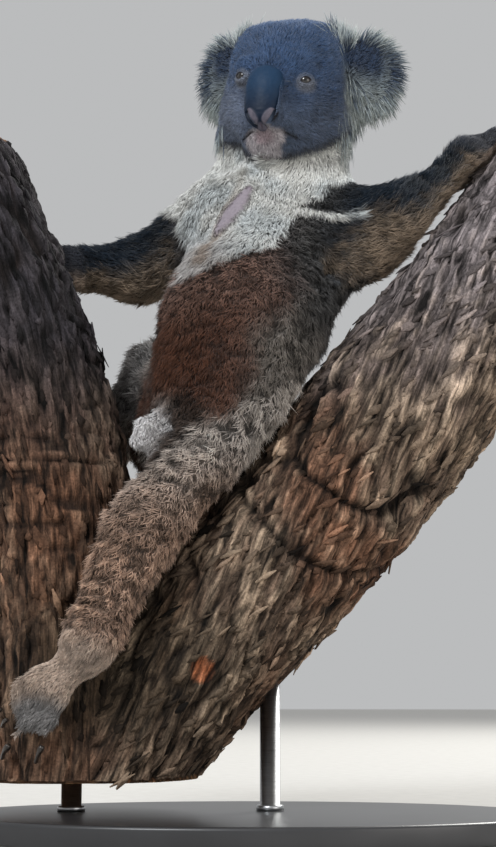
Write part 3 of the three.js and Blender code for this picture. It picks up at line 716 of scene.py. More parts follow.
def modelled_face(points, normals):
    """Muzzle, lips, mouth, chin, brow and cheeks, moved along the normals."""
    local = to_head(points)
    front = smooth_step(-10, -40, local[:, 1])
    x, z = np.abs(local[:, 0]), local[:, 2]
    at_corner = smooth_step(33, 28, x) * (0.25 + 0.75 * smooth_step(10, 19, x))
    out = -4.0 * np.exp(-((z - mouth_line(local)) / 2.0) ** 2) * at_corner
    out += 3.0 * ball(local, (-2, -74, -70), (23, 22, 14), 1.0)
    out -= 17.0 * ball(local, (-56, -26, -72), (22, 46, 22), 1.2)
    for side in (-1, 1):
        out += 2.4 * ball(local, (side * 24, -80, -44), (12, 16, 12), 1.2)
        out += 2.2 * ball(local, np.array(EYES[side]) + (0, -6, 14.5), (20, 14, 7), 1.4)
        out -= 2.2 * ball(local, (side * 31, -70, -12), (9, 14, 18), 1.4)
        out += 2.0 * ball(local, (side * 50, -48, -20), (18, 18, 12), 1.4)
    under = smooth_step(2, -6, z - jaw_line(local)) * smooth_step(45, 25, local[:, 1])
    return points + normals * (out * front - 5.0 * under)[:, None]


def jaw_line(local):
    """Height of the lower edge of the jaw, in the head's frame. The white of the throat starts below it."""
    return -87.5 + 0.65 * (local[:, 1] + 65)


def folds(points):
    """Creases across the ankles and wrists, where loose skin gathers: below 0 in one and above 0 between."""
    total = np.zeros(len(points))
    for limb, (_, middle, end) in LIMBS.items():
        spacing, low = (14, 0.5) if limb.startswith("leg") else (16, 0.75)
        share, away = along_bone(points, middle, end)
        length = np.linalg.norm(np.subtract(end, middle))
        waves = np.sin(share * length / spacing * 2 * math.pi + 1.6 * lumps(points, 24, 3))
        strong = smooth_step(low, low + 0.16, share) * smooth_step(1.0, 0.94, share) * (away < 60)
        total += waves * strong * (0.65 + 0.45 * lumps(points, 30, 4))
    return total


def tousle(points):
    """Above 0 where a woolly coat stands in ridges, and below 0 where it parts between them."""
    bent = points + 4 * np.stack([lumps(points, 21, 90 + k) for k in range(3)], axis=1)
    ridge = 0.75 - 2.4 * np.abs(lumps(bent, (15, 15, 10), 5))
    return ridge + 0.5 * lumps(points, 6, 6)


def thigh_edge(points):
    """1 on the pale shaggy wool of the left thigh and hip, below a ragged line that slopes over the groin."""
    x, y, z = points.T
    line = z - 454 - 0.62 * x + 7 * lumps(points, 14, 15) + 4 * lumps(points, 6, 16)
    return smooth_step(5, -5, line) * smooth_step(-66, -50, x) * smooth_step(40, 0, y)


def zone_values(weights, column):
    """One column of the coat's table, blended over each vertex by its zones."""
    return weights @ np.array([COAT[zone][COAT_COLUMNS.index(column)] for zone in ZONES])


def gathered(points, normals, wool):
    """Folds of the loose skin, and the ridges that a woolly coat lies in."""
    return points + normals * (4.2 * folds(points) + 1.9 * tousle(points) * wool)[:, None]


def bark_gaps(points, bark_tree):
    """How far each point is from the bark."""
    return np.array([bark_tree.find_nearest(Vector(p * MM))[3] for p in points]) / MM


def make_skin():
    """The skin, with what the coat needs to know of each of its vertices."""
    mesh = remeshed(joined_copies(FLESH + ["nose", "eye_left", "eye_right"], 0.7), SKIN_VOXEL)
    weights, _ = zone_weights(mesh, 12)
    fine = weights[:, [ZONES.index(z) for z in ("head", "hand", "foot", "pouch")]].sum(1)
    thin = weights[:, ZONES.index("ear")]
    rounded(mesh, 26, 0.62 - 0.5 * np.clip(fine, 0, 1) - 0.25 * thin)
    for reach in (58, 21, 14):
        spots = FACE_FEATURES if reach > 30 else FACE_FEATURES[1:3] if reach < 20 else FACE_FEATURES[1:]
        refined(mesh, [from_head(s) for s in spots], reach)
    weights, owner = zone_weights(mesh)
    edges = mesh_edges(mesh)
    points = relaxed(mesh_points(mesh), edges, 3, 0.5)
    points = slimmed_ears(points, weights)
    set_points(mesh, points)
    normals = unit(relaxed(mesh_normals(mesh), edges, 6))
    depth = relaxed(coat_depth(points, weights), edges, 8)
    points = points - normals * depth[:, None]
    set_points(mesh, points)
    normals = mesh_normals(mesh)
    points = modelled_face(points, normals)
    points = gathered(points, normals, zone_values(weights, "wool"))
    points = relaxed(points, edges, 2, 0.4)
    points = points + normals * (6.5 * gland_mask(points, 1.5))[:, None]
    points = from_head(behind_pad(to_head(points)))
    points = lidded_eyes(points)
    set_points(mesh, points)
    return mesh, weights, owner


def face_nearness(points):
    """1 on the muzzle and round the eyes, falling to 0 over the cheeks and crown."""
    local = to_head(points)
    near = smooth_step(62, 22, np.linalg.norm(local - np.array((0, -88, -34)), axis=1))
    for side in (-1, 1):
        eye = np.array(EYES[side])
        near = np.maximum(near, smooth_step(34, 11, np.linalg.norm(local - eye, axis=1)))
    return near


def coat_depth(points, weights):
    """How far the skin lies inside the frame's solids."""
    depth = zone_values(weights, "depth")
    return depth * (1 - 0.62 * face_nearness(points) * weights[:, ZONES.index("head")])


# ---------------------------------------------------------------- colours of the coat

CROWN = linear("#435e84")
CHEEK = linear("#415472")
CHEEK_LOW = linear("#5c6a82")
# Painted light: the lighter colour of the lower right cheek where light falls on it.
CHEEK_PAINTED_LIGHT = linear("#8590a6")
JAW = linear("#33363f")
LID = linear("#8a8f9b")
CHIN = linear("#c7c0c4")
CHIN_PINK = linear("#ad969d")
LIP = linear("#1d181c")
BIB = linear("#e8e8e4")
BIB_SHADE = linear("#d5dadb")
BIB_DULL = linear("#b3aeac")
BIB_WARM = linear("#927a62")
GLAND = linear("#938a92")
GLAND_RIM = linear("#432c1f")
ARM_TOP = linear("#17212c")
ARM_UNDER = linear("#867665")
BACK = linear("#565352")
RUMP = linear("#8f8981")
BELLY_TOP = linear("#6d6866")
BELLY = linear("#70584e")
BELLY_LOW = linear("#52301f")
# Painted shade on the flank, where the body turns away from the light.
FLANK_SHADE = linear("#303337")
FLANK_LOW = linear("#77736d")
THIGH = linear("#a49c95")
SHANK = linear("#967c6b")
SHANK_WARM = linear("#846753")
HAND = linear("#253445")
PAW = linear("#cbb6a6")
TOES = linear("#7b8084")
POUCH = linear("#f4f1f2")
# Painted shade in the fold between the belly and the thigh.
GROIN_SHADE = linear("#2c1f18")
EAR_IN = linear("#1e3556")
EAR_FRINGE = linear("#aeb9bc")
EAR_PALE = linear("#bcc1bb")
EAR_BACK = linear("#66717b")
# Colours of the bare nose and the eyes.
NOSE_SKIN = linear("#101f33")
# A painted reflection of the sky: the lighter blue that the top of the nose pad is mixed towards.
NOSE_SKY_REFLECTION = linear("#1b3a58")
NOSE_LOBE = linear("#6a6570")
NOSE_SEAM = linear("#4d3e4a")
NOSTRIL = linear("#06070a")
EYEBALL = linear("#241a17")
IRIS = linear("#1c1410")
IRIS_EDGE = linear("#0d0806")
PUPIL = linear("#050404")
# Colours of the bark.
BARK_LOW = linear("#5d4d41")
BARK_HIGH = linear("#9a8672")
BARK_GREY = linear("#827d81")
BARK_RED = linear("#6a4632")
TRUNK_BROWN = linear("#503728")
# Painted shade on the trunk higher up, by the animal.
TRUNK_TOP_SHADE = linear("#23242a")
# Painted shade in the crotch between the two logs.
FORK_CROTCH_SHADE = linear("#2f281d")
SCAR_WOOD = linear("#8a5134")
# Painted shade in the cracks and furrows of the bark.
CRACK_SHADE = linear("#120d0b")


def bib_mask(points):
    """The white bib of throat and chest. Its lower edge slopes, and is ragged."""
    x, y, z = points.T
    local = to_head(points)
    ragged = 6 * lumps(points, 17, 11) + 4 * lumps(points, 7, 12)
    low_edge = np.interp(x, (-90, -46, -5, 28, 44, 54, 62, 92), (590, 606, 622, 636, 655, 684, 694, 722))
    back_edge = 76 + 50 * smooth_step(20, -20, x) * smooth_step(682, 706, z)
    inside = np.minimum(z - low_edge + ragged, back_edge - y + ragged)
    right_edge = np.interp(z, (600, 622, 667, 700, 716, 735), (72, 70, 68, 76, 96, 160))
    inside = np.minimum(inside, right_edge + x + ragged)
    shoulder = np.interp(z, (690, 710, 727, 745, 800), (78, 82, 92, 118, 150))
    inside = np.minimum(inside, shoulder - x + ragged)
    below_jaw = smooth_step(3, -3, local[:, 2] - jaw_line(local) + 2.5 * lumps(points, 6, 13))
    band = stroke(points, (60, 10, 690), (124, 8, 684), 5 + 1.5 * lumps(points, 9, 14), 4) * (y < 50)
    return np.maximum(smooth_step(-2, 3, inside) * np.where(z > 745, below_jaw, 1), band)


# Where the bare scent gland starts and ends, on the middle of the chest.
GLAND_LINE = ((1, 12, 716), (-36, -18, 660))


def gland_mask(points, extra=0):
    """The bare scent gland, grown by extra."""
    share, away = along_bone(points * FLAT, *np.multiply(GLAND_LINE, FLAT))
    radius = 5.5 + 4.5 * np.sin(np.clip(share, 0, 1) * math.pi) + extra
    return smooth_step(radius + 1.5, radius - 1.5, away)


def trunk_colour(points, normals, broad):
    """Grey back, painted shade on the flanks, which are paler low down, and a brown belly that reddens low
    down.
    """
    x = points[:, 0]
    share, _ = along_bone(points, CHEST, PELVIS)
    front = smooth_step(0.25, -0.35, normals[:, 1])
    belly = mixed(np.tile(BELLY_TOP, (len(points), 1)), BELLY, smooth_step(0.2, 0.6, share + 0.15 * broad))
    low = smooth_step(0.45, 1.0, share + 0.2 * broad) * smooth_step(40, -50, x)
    belly = mixed(belly, BELLY_LOW, low * 0.85)
    beyond = x - np.interp(points[:, 2], (458, 523, 588), (-8, 7, 50)) + 12 * broad
    belly = mixed(belly, FLANK_LOW, smooth_step(-14, 20, beyond) * 0.85)
    high = smooth_step(510, 570, points[:, 2])
    # painted shade: the belly darkens towards its left side, more so higher up
    belly = mixed(belly, FLANK_SHADE, smooth_step(5, 75, x + 14 * broad) * (0.2 + 0.6 * high))
    rump = smooth_step(0.72, 1.0, share) * (0.4 + 0.4 * broad)
    back = mixed(np.tile(BACK, (len(points), 1)), RUMP, rump)
    trunk = mixed(back, belly, front)
    return mixed(trunk, THIGH, thigh_edge(points) * 0.85)


def lips(local):
    """The dark line of the mouth, strongest at its corners, and the dark skin beside the nostrils."""
    wide = np.abs(local[:, 0])
    at_corner = smooth_step(34, 30, wide) * (0.15 + 0.85 * smooth_step(15, 20, wide))
    dark = np.exp(-((local[:, 2] - mouth_line(local)) / 2.5) ** 2) * at_corner
    for side in (-1, 1):
        dark = np.maximum(dark, capsule(local, (side * 19.5, -96, -42), (side * 10, -96, -57), 2.6, 3))
    return dark * smooth_step(-40, -55, local[:, 1])


def head_colour(points, broad):
    """Slate crown and cheeks, painted light low on the right cheek, a dark band along the jaw, and a pale
    pinkish chin.
    """
    local = to_head(points)
    head = mixed(np.tile(CHEEK, (len(points), 1)), CROWN, smooth_step(-20, 40, local[:, 2] + 8 * broad))
    head = mixed(head, CHEEK_LOW, smooth_step(-8, -40, local[:, 2]))
    # painted light on the lower right cheek
    head = mixed(head, CHEEK_PAINTED_LIGHT, smooth_step(-4, -40, local[:, 0]) * smooth_step(20, -34, local[:, 2]))
    above_jaw = local[:, 2] - jaw_line(local) + 3 * lumps(points, 9, 32)
    head = mixed(head, JAW, smooth_step(15, 5, above_jaw) * smooth_step(10, -20, local[:, 1]) * 0.85)
    head = mixed(head, BACK, smooth_step(20, 60, local[:, 1]))
    for side in (-1, 1):
        eye = np.array(EYES[side]) + (side * 2, -6, -4)
        head = mixed(head, LID, ball(local, eye, (12, 14, 10), 0.8) * 0.85)
        beyond = beyond_lids(local, side)[4]
        head = mixed(head, LIP, smooth_step(1.6, 0.2, beyond))
    ragged = 1.8 * lumps(points, 5, 31)
    high = local[:, 2] - mouth_line(local)
    outside = np.abs(local[:, 0] + 3.5) - 22 + 0.5 * np.maximum(0, -66 - local[:, 2])
    chin_wide = smooth_step(3, -2, outside + ragged)
    chin = smooth_step(-89, -83, local[:, 2] + ragged) * chin_wide * smooth_step(6, 2, high)
    chin = chin * smooth_step(-40, -50, local[:, 1])
    rosy = ball(local, (-2, -80, -63), (11, 14, 8), 1.0)
    head = mixed(head, mixed(np.tile(CHIN, (len(points), 1)), CHIN_PINK, rosy * 0.7), chin)
    return mixed(head, LIP, lips(local))


def ear_colour(points, normals):
    """Dark slate in the hollow, and pale towards the rim and lobe."""
    local = to_head(points)
    dark, low = np.zeros(len(points)), np.zeros(len(points))
    for side in (-1, 1):
        centre, axes = ear_frame(side)
        own = (points - centre) @ axes
        mine = np.sign(local[:, 0]) == side
        inner = smooth_step(0.2, -0.4, normals @ axes[:, 1]) * mine
        dark += inner * smooth_step(22, 2, own[:, 0] * side) * smooth_step(-14, 8, own[:, 2])
        low += inner * smooth_step(-8, -34, own[:, 2])
    ear = mixed(np.tile(EAR_BACK, (len(points), 1)), EAR_FRINGE, smooth_step(0.3, -0.3, normals[:, 1]) * 0.35)
    ear = mixed(ear, EAR_PALE, np.clip(low, 0, 1) * 0.5)
    return mixed(ear, EAR_IN, np.clip(dark, 0, 1) * 0.9)


def coat_colour(points, normals, weights):
    """The colour that the coat has at each point, with painted shade and light, the same for the skin and
    for its tufts.
    """
    weight = dict(zip(ZONES, weights.T))
    broad = lumps(points, 45, 21)
    z = points[:, 2]
    warm = smooth_step(-0.1, 0.7, lumps(points, 60, 22))

    # limbs: dark above, pale and brown below
    lower_split = 0.25 * smooth_step(-40, -80, points[:, 0])
    facing_up = normals[:, 2] + lower_split + 0.2 * broad + 0.15 * lumps(points, 12, 23)
    above = smooth_step(-0.4, 0.25, facing_up)
    arm = mixed(np.tile(ARM_UNDER, (len(points), 1)), ARM_TOP, above)
    leg = mixed(np.tile(THIGH, (len(points), 1)), SHANK, smooth_step(430, 300, z))
    leg = mixed(leg, SHANK_WARM, warm * smooth_step(440, 330, z) * 0.6)
    leg = mixed(leg, BACK, smooth_step(0.1, 0.7, normals[:, 1]) * 0.6)
    # painted shade where the back of the thigh meets the body
    leg = mixed(leg, FLANK_SHADE, smooth_step(50, 90, points[:, 1]) * smooth_step(430, 480, z) * 0.7)
    # painted shade in the creases of the folds, and painted light on the ridges between them
    leg = leg * (1 + 0.14 * broad + 0.6 * np.clip(folds(points), -1, 0.35))[:, None]

    toes = ball(points, (-212, -92, 128), (32, 50, 24), 0.8)
    foot = mixed(np.tile(PAW, (len(points), 1)), TOES, toes * 0.8)
    dark = smooth_step(-0.75, -0.2, normals[:, 2]) * 0.92
    paw = np.where(z[:, None] < 420, foot, mixed(foot, HAND, dark)) * (1 + 0.15 * broad)[:, None]
    pouch = np.tile(POUCH, (len(points), 1))
    body = trunk_colour(points, normals, broad)
    tufty = stroke(points, (-92, -64, 438), (-104, -30, 446), 13, 12) * (weight["trunk"] + weight["leg"])
    colours = (
        head_colour(points, broad) * weight["head"][:, None]
        + ear_colour(points, normals) * weight["ear"][:, None]
        + body * (weight["trunk"] + weight["neck"])[:, None] + arm * weight["arm"][:, None]
        + leg * weight["leg"][:, None] + paw * (weight["hand"] + weight["foot"])[:, None]
        + pouch * weight["pouch"][:, None])
    # painted shade in the fold between the belly and the thigh
    groin = stroke(points, (-66, -60, 448), (-116, -60, 396), 22, 12) * (points[:, 1] < 110)
    groin = groin * (1 - weight["pouch"])
    colours = mixed(colours, GROIN_SHADE, groin * 0.92)
    colours = mixed(colours, POUCH, tufty * 0.75)

    bib = bib_mask(points) * (1 - weight["ear"])
    white = mixed(np.tile(BIB, (len(points), 1)), BIB_SHADE, smooth_step(-0.2, 0.6, lumps(points, 30, 41)))
    white = mixed(white, BIB_DULL, smooth_step(690, 630, z) * smooth_step(10, -40, points[:, 0]) * 0.9)
    colours = mixed(colours, white, bib)
    stain = stroke(points, (-4, 10, 752), (-46, -30, 620), 8, 10) * 0.55
    uneven = lumps(points, 8, 42)
    rim = stroke(points, (-8, 20, 734), (-31, 10, 696), 5.5 + 1.5 * uneven, 4)
    rim = np.maximum(rim, stroke(points, (-31, 10, 696), (-45, 0, 668), 5 + 1.5 * uneven, 4))
    rim = np.maximum(rim, 0.75 * stroke(points, (-45, 0, 668), (-47, -50, 620), 3.5 + 1.5 * uneven, 5))
    rim = np.maximum(rim, 0.6 * stroke(points, (6, 5, 712), (-2, 0, 690), 2.5 + 1.5 * uneven, 4))
    colours = mixed(colours, BIB_WARM, stain * bib)
    colours = mixed(colours, GLAND_RIM, rim * bib * 0.92)
    return mixed(colours, GLAND, gland_mask(points) * bib)


# ---------------------------------------------------------------- the lie of the coat


def lie_of_coat(mesh, points, normals, owner):
    """The way that the hair points on each vertex: back from the nose, down the body and along the limbs."""
    local = to_head(points)
    ways = np.zeros_like(points)
    down_body = unit(np.array(PELVIS, float) - np.array(CHEST))
    from_nose = unit(local - np.array((0, -98, -14))) @ HEAD_AXES.T
    for number, name in enumerate(FLESH):
        mine = owner == number
        zone = ZONE_OF[name]
        if zone == "head":
            ways[mine] = from_nose[mine]
        elif zone == "ear":
            side = 1 if name.endswith("left") else -1
            centre, axes = ear_frame(side)
            root = centre + np.array((side * -40.0, 4.0, -10.0)) @ axes.T
            ways[mine] = unit(points[mine] - root)
        elif zone == "pouch":
            ways[mine] = (0, -0.2, -1)
        elif zone in ("neck", "trunk"):
            ways[mine] = down_body
        else:
            kind = "arm" if zone in ("arm", "hand") else "leg"
            top, middle, end = (np.array(p, float) for p in LIMBS[f"{kind}_{name.rsplit('_', 1)[1]}"])
            lines = {"upper_arm": middle - top, "thigh": middle - top}
            ways[mine] = unit(lines.get(name.rsplit("_", 1)[0], end - middle))
            if zone in ("hand", "foot"):
                ways[mine] = unit(points[mine] - (middle + (end - middle) * 0.6))
    edges = mesh_edges(mesh)
    for _ in range(5):
        ways = relaxed(ways, edges, 6)
        ways = unit(ways - normals * np.sum(ways * normals, axis=1, keepdims=True))
    return ways


# ---------------------------------------------------------------- tufts

# A tuft is a thin bent spindle: a root, a ring of three and a tip. A long lock has a second ring.
TUFT_FACES = np.array([(2, 1, 0), (3, 2, 0), (1, 3, 0), (1, 2, 4), (2, 3, 4), (3, 1, 4)])
LOCK_FACES = np.array([(2, 1, 0), (3, 2, 0), (1, 3, 0),
                       (1, 2, 5), (1, 5, 4), (2, 3, 6), (2, 6, 5), (3, 1, 4), (3, 4, 6),
                       (4, 5, 7), (5, 6, 7), (6, 4, 7)])
RING = [(math.cos(math.radians(a)), math.sin(math.radians(a))) for a in (90, 210, 330)]
PATCH = 0.003
# How light a tuft is at its root, its middle and its tip: in a smooth coat, and in a woolly one. The dark
# root is painted shade among the hairs; the light tip is partly painted light and partly the hairs' own pale
# ends.
SMOOTH_COAT_SHADING = (0.72, 0.96, 1.1)
WOOLLY_COAT_SHADING = (0.22, 0.76, 1.6)


def ring_points(middle, way, normal, radius):
    """Three points round a tuft's middle line."""
    side = unit(np.cross(normal, way))
    rise = np.cross(way, side)
    return [middle + (side * c + rise * s * 0.7) * radius[:, None] for c, s in RING]


def chart_places(roots, normals):
    """Where each root lies on an unwrap of the skin: six charts, one for each way that the skin can face."""
    facing = np.argmax(np.abs(normals), axis=1)
    chart = facing * 2 + (normals[np.arange(len(roots)), facing] > 0)
    low, high = roots.min(0), roots.max(0)
    size = (high - low).max()
    place = (roots - low) / size
    flat = np.array([(1, 2), (0, 2), (0, 1)])[facing]
    rows = np.arange(len(roots))
    across, up = place[rows, flat[:, 0]], place[rows, flat[:, 1]]
    column, row = chart % 3, chart // 3
    return np.stack(((column + 0.02 + 0.96 * across) / 3, (row + 0.02 + 0.96 * up) / 2), axis=1)


def coat_piece(name, tufts, material, slot, long_hair=False):
    """One piece of the coat, from the middle lines and colours of its tufts."""
    faces = LOCK_FACES if long_hair else TUFT_FACES
    lines, normals, width, colours = (tufts[key] for key in ("lines", "normals", "width", "colours"))
    rows = [lines[:, 0]]
    last = lines.shape[1] - 1
    for step in range(1, last):
        way = unit(lines[:, step + 1] - lines[:, step - 1])
        rows += ring_points(lines[:, step], way, normals, width * (0.5 if step == 1 else 0.36))
    rows.append(lines[:, last])
    points = np.stack(rows, axis=1)
    per = points.shape[1]
    shades = [0.0, *[step / last for step in range(1, last) for _ in RING], 1.0]
    soft, hard = (np.interp(shades, (0, 0.45, 1), tones) for tones in (SMOOTH_COAT_SHADING, WOOLLY_COAT_SHADING))
    # painted shade darkens each tuft at its root, and painted light partly lightens its tip
    root_to_tip_shading = soft + (hard - soft) * tufts["contrast"][:, None]
    shaded_colours = colours[:, None, :] * root_to_tip_shading[:, :, None]
    if "tips" in tufts:
        outer = smooth_step(0.35, 1, np.array(shades))[None, :, None]
        shaded_colours = shaded_colours + (tufts["tips"][:, None, :] - shaded_colours) * outer
    spread = np.array([(0, 0), *[(c * 0.4, 0.15 + 0.7 * s + 0.1 * r) for s in shades[1:-1:3] for r, (c, _) in
                                 zip((1, -1, -1), RING)], (0, 1)]) * PATCH
    places = chart_places(lines[:, 0], normals)[:, None, :] + spread[None]
    order = (np.arange(len(points))[:, None, None] * per + faces[None]).reshape(-1, 3)
    mesh = face_mesh(name, points.reshape(-1, 3), order)
    set_colours(mesh, "coat", shaded_colours.reshape(-1, 3))
    layer = mesh.uv_layers.new(name="OFBake")
    layer.data.foreach_set("uv", places.reshape(-1, 2)[order.ravel()].astype(np.float32).ravel())
    return finished(name, mesh, material, slot)


def scattered(triangles, points, density, count, random):
    """Roots spread over the skin by density: the triangle of each, and its shares of the three corners."""
    a, b, c = (points[triangles[:, k]] for k in range(3))
    area = 0.5 * np.linalg.norm(np.cross(b - a, c - a), axis=1)
    weight = np.cumsum(area * density[triangles].mean(1))
    spots = (np.arange(count) + random.random(count)) / count * weight[-1]
    chosen = np.searchsorted(weight, spots)
    r, s = np.sqrt(random.random(count)), random.random(count)
    return chosen, np.stack((1 - r, r * (1 - s), r * s), axis=1)


def tuft_lines(roots, normals, ways, length, lift_root, lift_tip, bend):
    """The middle line of each tuft: it leaves the skin at one lift, and ends at another."""
    def rising(lift):
        angle = np.radians(lift)[:, None]
        return ways * np.cos(angle) + normals * np.sin(angle)
    middle = roots + rising(lift_root) * (length * 0.42)[:, None]
    tip = middle + (rising(lift_tip) + bend) * (length * 0.58)[:, None]
    return middle, tip


def nearest_centres(points, centres):
    """For each point, the number of the centre nearest to it."""
    tree = KDTree(len(centres))
    for number, centre in enumerate(centres):
        tree.insert(centre, number)
    tree.balance()
    return np.array([tree.find(p)[1] for p in points])


def coat_fields(mesh, weights, owner, bark_tree):
    """What a tuft needs to know, for each vertex of the skin."""
    points, edges = mesh_points(mesh), mesh_edges(mesh)
    normals = mesh_normals(mesh)
    soft_normals = unit(relaxed(normals, edges, 8))
    fields = {column: zone_values(weights, column) for column in COAT_COLUMNS}
    head = weights[:, ZONES.index("head")]
    near = face_nearness(points) * head
    local = to_head(points)
    fields["length"] = fields["length"] * (1 - 0.66 * near)
    fields["width"] = fields["width"] * (1 - 0.25 * near)
    fields["lift_root"] = fields["lift_root"] * (1 - 0.25 * near)
    fields["density"] = fields["density"] * (1 + 0.9 * near)
    trunk = weights[:, ZONES.index("trunk")]
    shaggy = thigh_edge(points) * trunk
    x, _, z = points.T
    curly = smooth_step(555, 600, z) + smooth_step(10, 50, x) * smooth_step(560, 520, z)
    woolly = np.maximum(shaggy, 0.8 * np.clip(curly, 0, 1) * trunk)
    fields["wool"] = fields["wool"] + (1.0 - fields["wool"]) * woolly
    fields["length"] = fields["length"] * (1 + 0.3 * shaggy)
    bib = bib_mask(points) * (1 - head)
    fields["length"] = fields["length"] * (1 + 0.5 * bib)
    fields["wool"] = fields["wool"] * (1 - 0.9 * bib)
    fields["stray"] = fields["stray"] * (1 - 0.6 * bib)
    fields["lift_tip"] = fields["lift_tip"] * (1 - 0.5 * bib)
    for side in (-1, 1):
        centre, axes = ear_frame(side)
        own = (points - centre) @ axes
        cave = smooth_step(34, 16, own[:, 0] * side) * smooth_step(-24, -6, own[:, 2])
        cave = cave * smooth_step(0.2, -0.4, normals @ axes[:, 1])
        cave = cave * weights[:, ZONES.index("ear")] * (np.sign(local[:, 0]) == side)
        fields["length"] = fields["length"] * (1 - 0.45 * cave)
    beside = np.maximum(gland_mask(points, 11), stroke(points, (-2, 20, 744), (-42, 0, 668), 13, 8))
    beside = beside * bib
    fields["length"] = fields["length"] * (1 - 0.78 * beside)
    fields["lift_tip"] = fields["lift_tip"] * (1 - 0.5 * beside)
    fields["density"] = fields["density"] * (1 + 1.2 * beside)
    fold = folds(points)
    fields["length"] = fields["length"] * (1 - 0.45 * np.minimum(np.abs(fold), 1))
    fields["lift_tip"] = fields["lift_tip"] + 14 * np.maximum(fold, 0)
    bare = gland_mask(points) * bib
    on_nose = ball(local, (NOSE_MIDDLE, NOSE[1], NOSE[2] + 2), (21, 30, 38), 0.1)
    bare = np.maximum(bare, on_nose)
    for side in (-1, 1):
        bare = np.maximum(bare, smooth_step(2.2, 1.2, beyond_lids(local, side)[4]))
    fields["length"] = fields["length"] * (1 - 0.75 * lips(local) * head)
    gap = bark_gaps(points, bark_tree)
    hidden = smooth_step(7, 4.5, gap)
    fields["density"] = fields["density"] * (1 - np.clip(bare, 0, 1)) * (1 - hidden)
    fields["gap"] = gap
    fields["normals"] = soft_normals
    fields["ways"] = lie_of_coat(mesh, points, soft_normals, owner)
    fields["colours"] = coat_colour(points, normals, weights)
    fields["weights"] = weights
    return points, fields


def coat_part(roots, weights):
    """The name of the coat piece that each root belongs to."""
    local = to_head(roots)
    zone = np.array(ZONES)[np.argmax(weights, axis=1)]
    names = np.empty(len(roots), object)
    side = np.where(local[:, 0] > 0, "left", "right")
    names[zone == "head"] = np.where(local[:, 1] < -14, "face", "crown")[zone == "head"]
    for number in np.flatnonzero(zone == "ear"):
        names[number] = f"ear_{side[number]}"
    names[zone == "neck"] = "throat"
    front = roots @ np.array((0.2, 1, 0)) < np.interp(roots[:, 2], (400, 700), (0, 70))
    front_name = np.where(roots[:, 2] > 560, "chest", "belly")
    names[zone == "trunk"] = np.where(front, front_name, "back")[zone == "trunk"]
    names[zone == "pouch"] = "pouch"
    for limb, line in LIMBS.items():
        kind = limb.split("_")[0]
        zones = ("arm", "hand") if kind == "arm" else ("leg", "foot")
        other = LIMBS[limb.replace("left", "right") if "left" in limb else limb.replace("right", "left")]

        def far(bones):
            return np.min([along_bone(roots, a, b)[1] for a, b in zip(bones, bones[1:])], axis=0)
        mine = far(line) < far(other)
        for z in zones:
            names[(zone == z) & mine] = limb if z == kind else limb.replace(kind, z)
    return names


def make_coat(mesh, weights, owner, bark_tree, material):
    """All the tufts of the coat, in one piece for each part of the body."""
    random = np.random.default_rng(SEED)
    points, fields = coat_fields(mesh, weights, owner, bark_tree)
    triangles = mesh_triangles(mesh)
    chosen, shares = scattered(triangles, points, fields["density"], MOST_TUFTS, random)
    corners = triangles[chosen]

    def at_roots(values):
        picked = values[corners]
        return np.einsum("nk,nk...->n...", shares, picked)

    root = {key: at_roots(value) for key, value in fields.items()}
    roots = at_roots(points)
    normals, ways = unit(root["normals"]), unit(root["ways"])
    count = len(roots)
    near_bark = smooth_step(16, 6, root["gap"])
    length = root["length"] * random.uniform(0.72, 1.22, count) * (1 - 0.3 * near_bark)
    side = np.cross(normals, ways)
    crimp = tousle(roots) * root["wool"]
    stray = random.normal(0, 1, count) * root["stray"] + 0.6 * root["wool"] * lumps(roots, 9, 54)
    ways = unit(ways + side * (stray + 0.35 * lumps(roots, 26, 51))[:, None])
    low = 1 - 0.5 * near_bark
    lift_root = root["lift_root"] * random.uniform(0.7, 1.25, count) * low * (1 + 0.35 * crimp)
    lift_tip = root["lift_tip"] * random.uniform(0.3, 1.5, count) * low * (1 + 0.8 * crimp)
    length = length * (1 + 0.22 * crimp)
    bend = side * (random.normal(0, 0.22, count) * (1 + root["wool"]))[:, None]
    middle, tip = tuft_lines(roots, normals, ways, length, lift_root, lift_tip, bend)

    # tufts draw together into locks: some of them are the middles that the others lean to
    chance = 100 / (root["density"] * root["pitch"] ** 2)
    leaders = np.flatnonzero(random.random(count) < chance)
    leader = leaders[nearest_centres(roots * MM, roots[leaders] * MM)]
    lean = (tip[leader] - tip) * (root["pull"] * random.uniform(0.3, 1.7, count))[:, None]
    reach = np.linalg.norm(lean, axis=1)
    lean *= (np.minimum(reach, 0.7 * length) / np.maximum(reach, 1e-6))[:, None]
    tip = tip + lean
    middle = middle + lean * 0.3

    contrast = np.clip(0.12 + 0.88 * root["wool"], 0, 1)
    # Random tone for each tuft and each lock, and painted light and shade: the crimp term lightens tufts on
    # the woolly ridges and darkens them in the partings between.
    ridge_light_and_tone = 1 + (0.06 + 0.1 * contrast) * random.normal(0, 1, count)
    ridge_light_and_tone = ridge_light_and_tone + (0.3 * random.normal(0, 1, count))[leader] * contrast + 0.6 * crimp
    colours = root["colours"] * np.clip(ridge_light_and_tone, 0.3, 2.0)[:, None]
    names = coat_part(roots, root["weights"])
    lines = np.stack((roots - normals * 0.6, middle, tip), axis=1)
    width = root["width"] * random.uniform(0.75, 1.25, count)
    for name in sorted(set(names)):
        mine = names == name
        tufts = {"lines": lines[mine], "normals": normals[mine], "width": width[mine],
                 "colours": colours[mine], "contrast": contrast[mine]}
        coat_piece(f"coat_{name}", tufts, material, "fur")


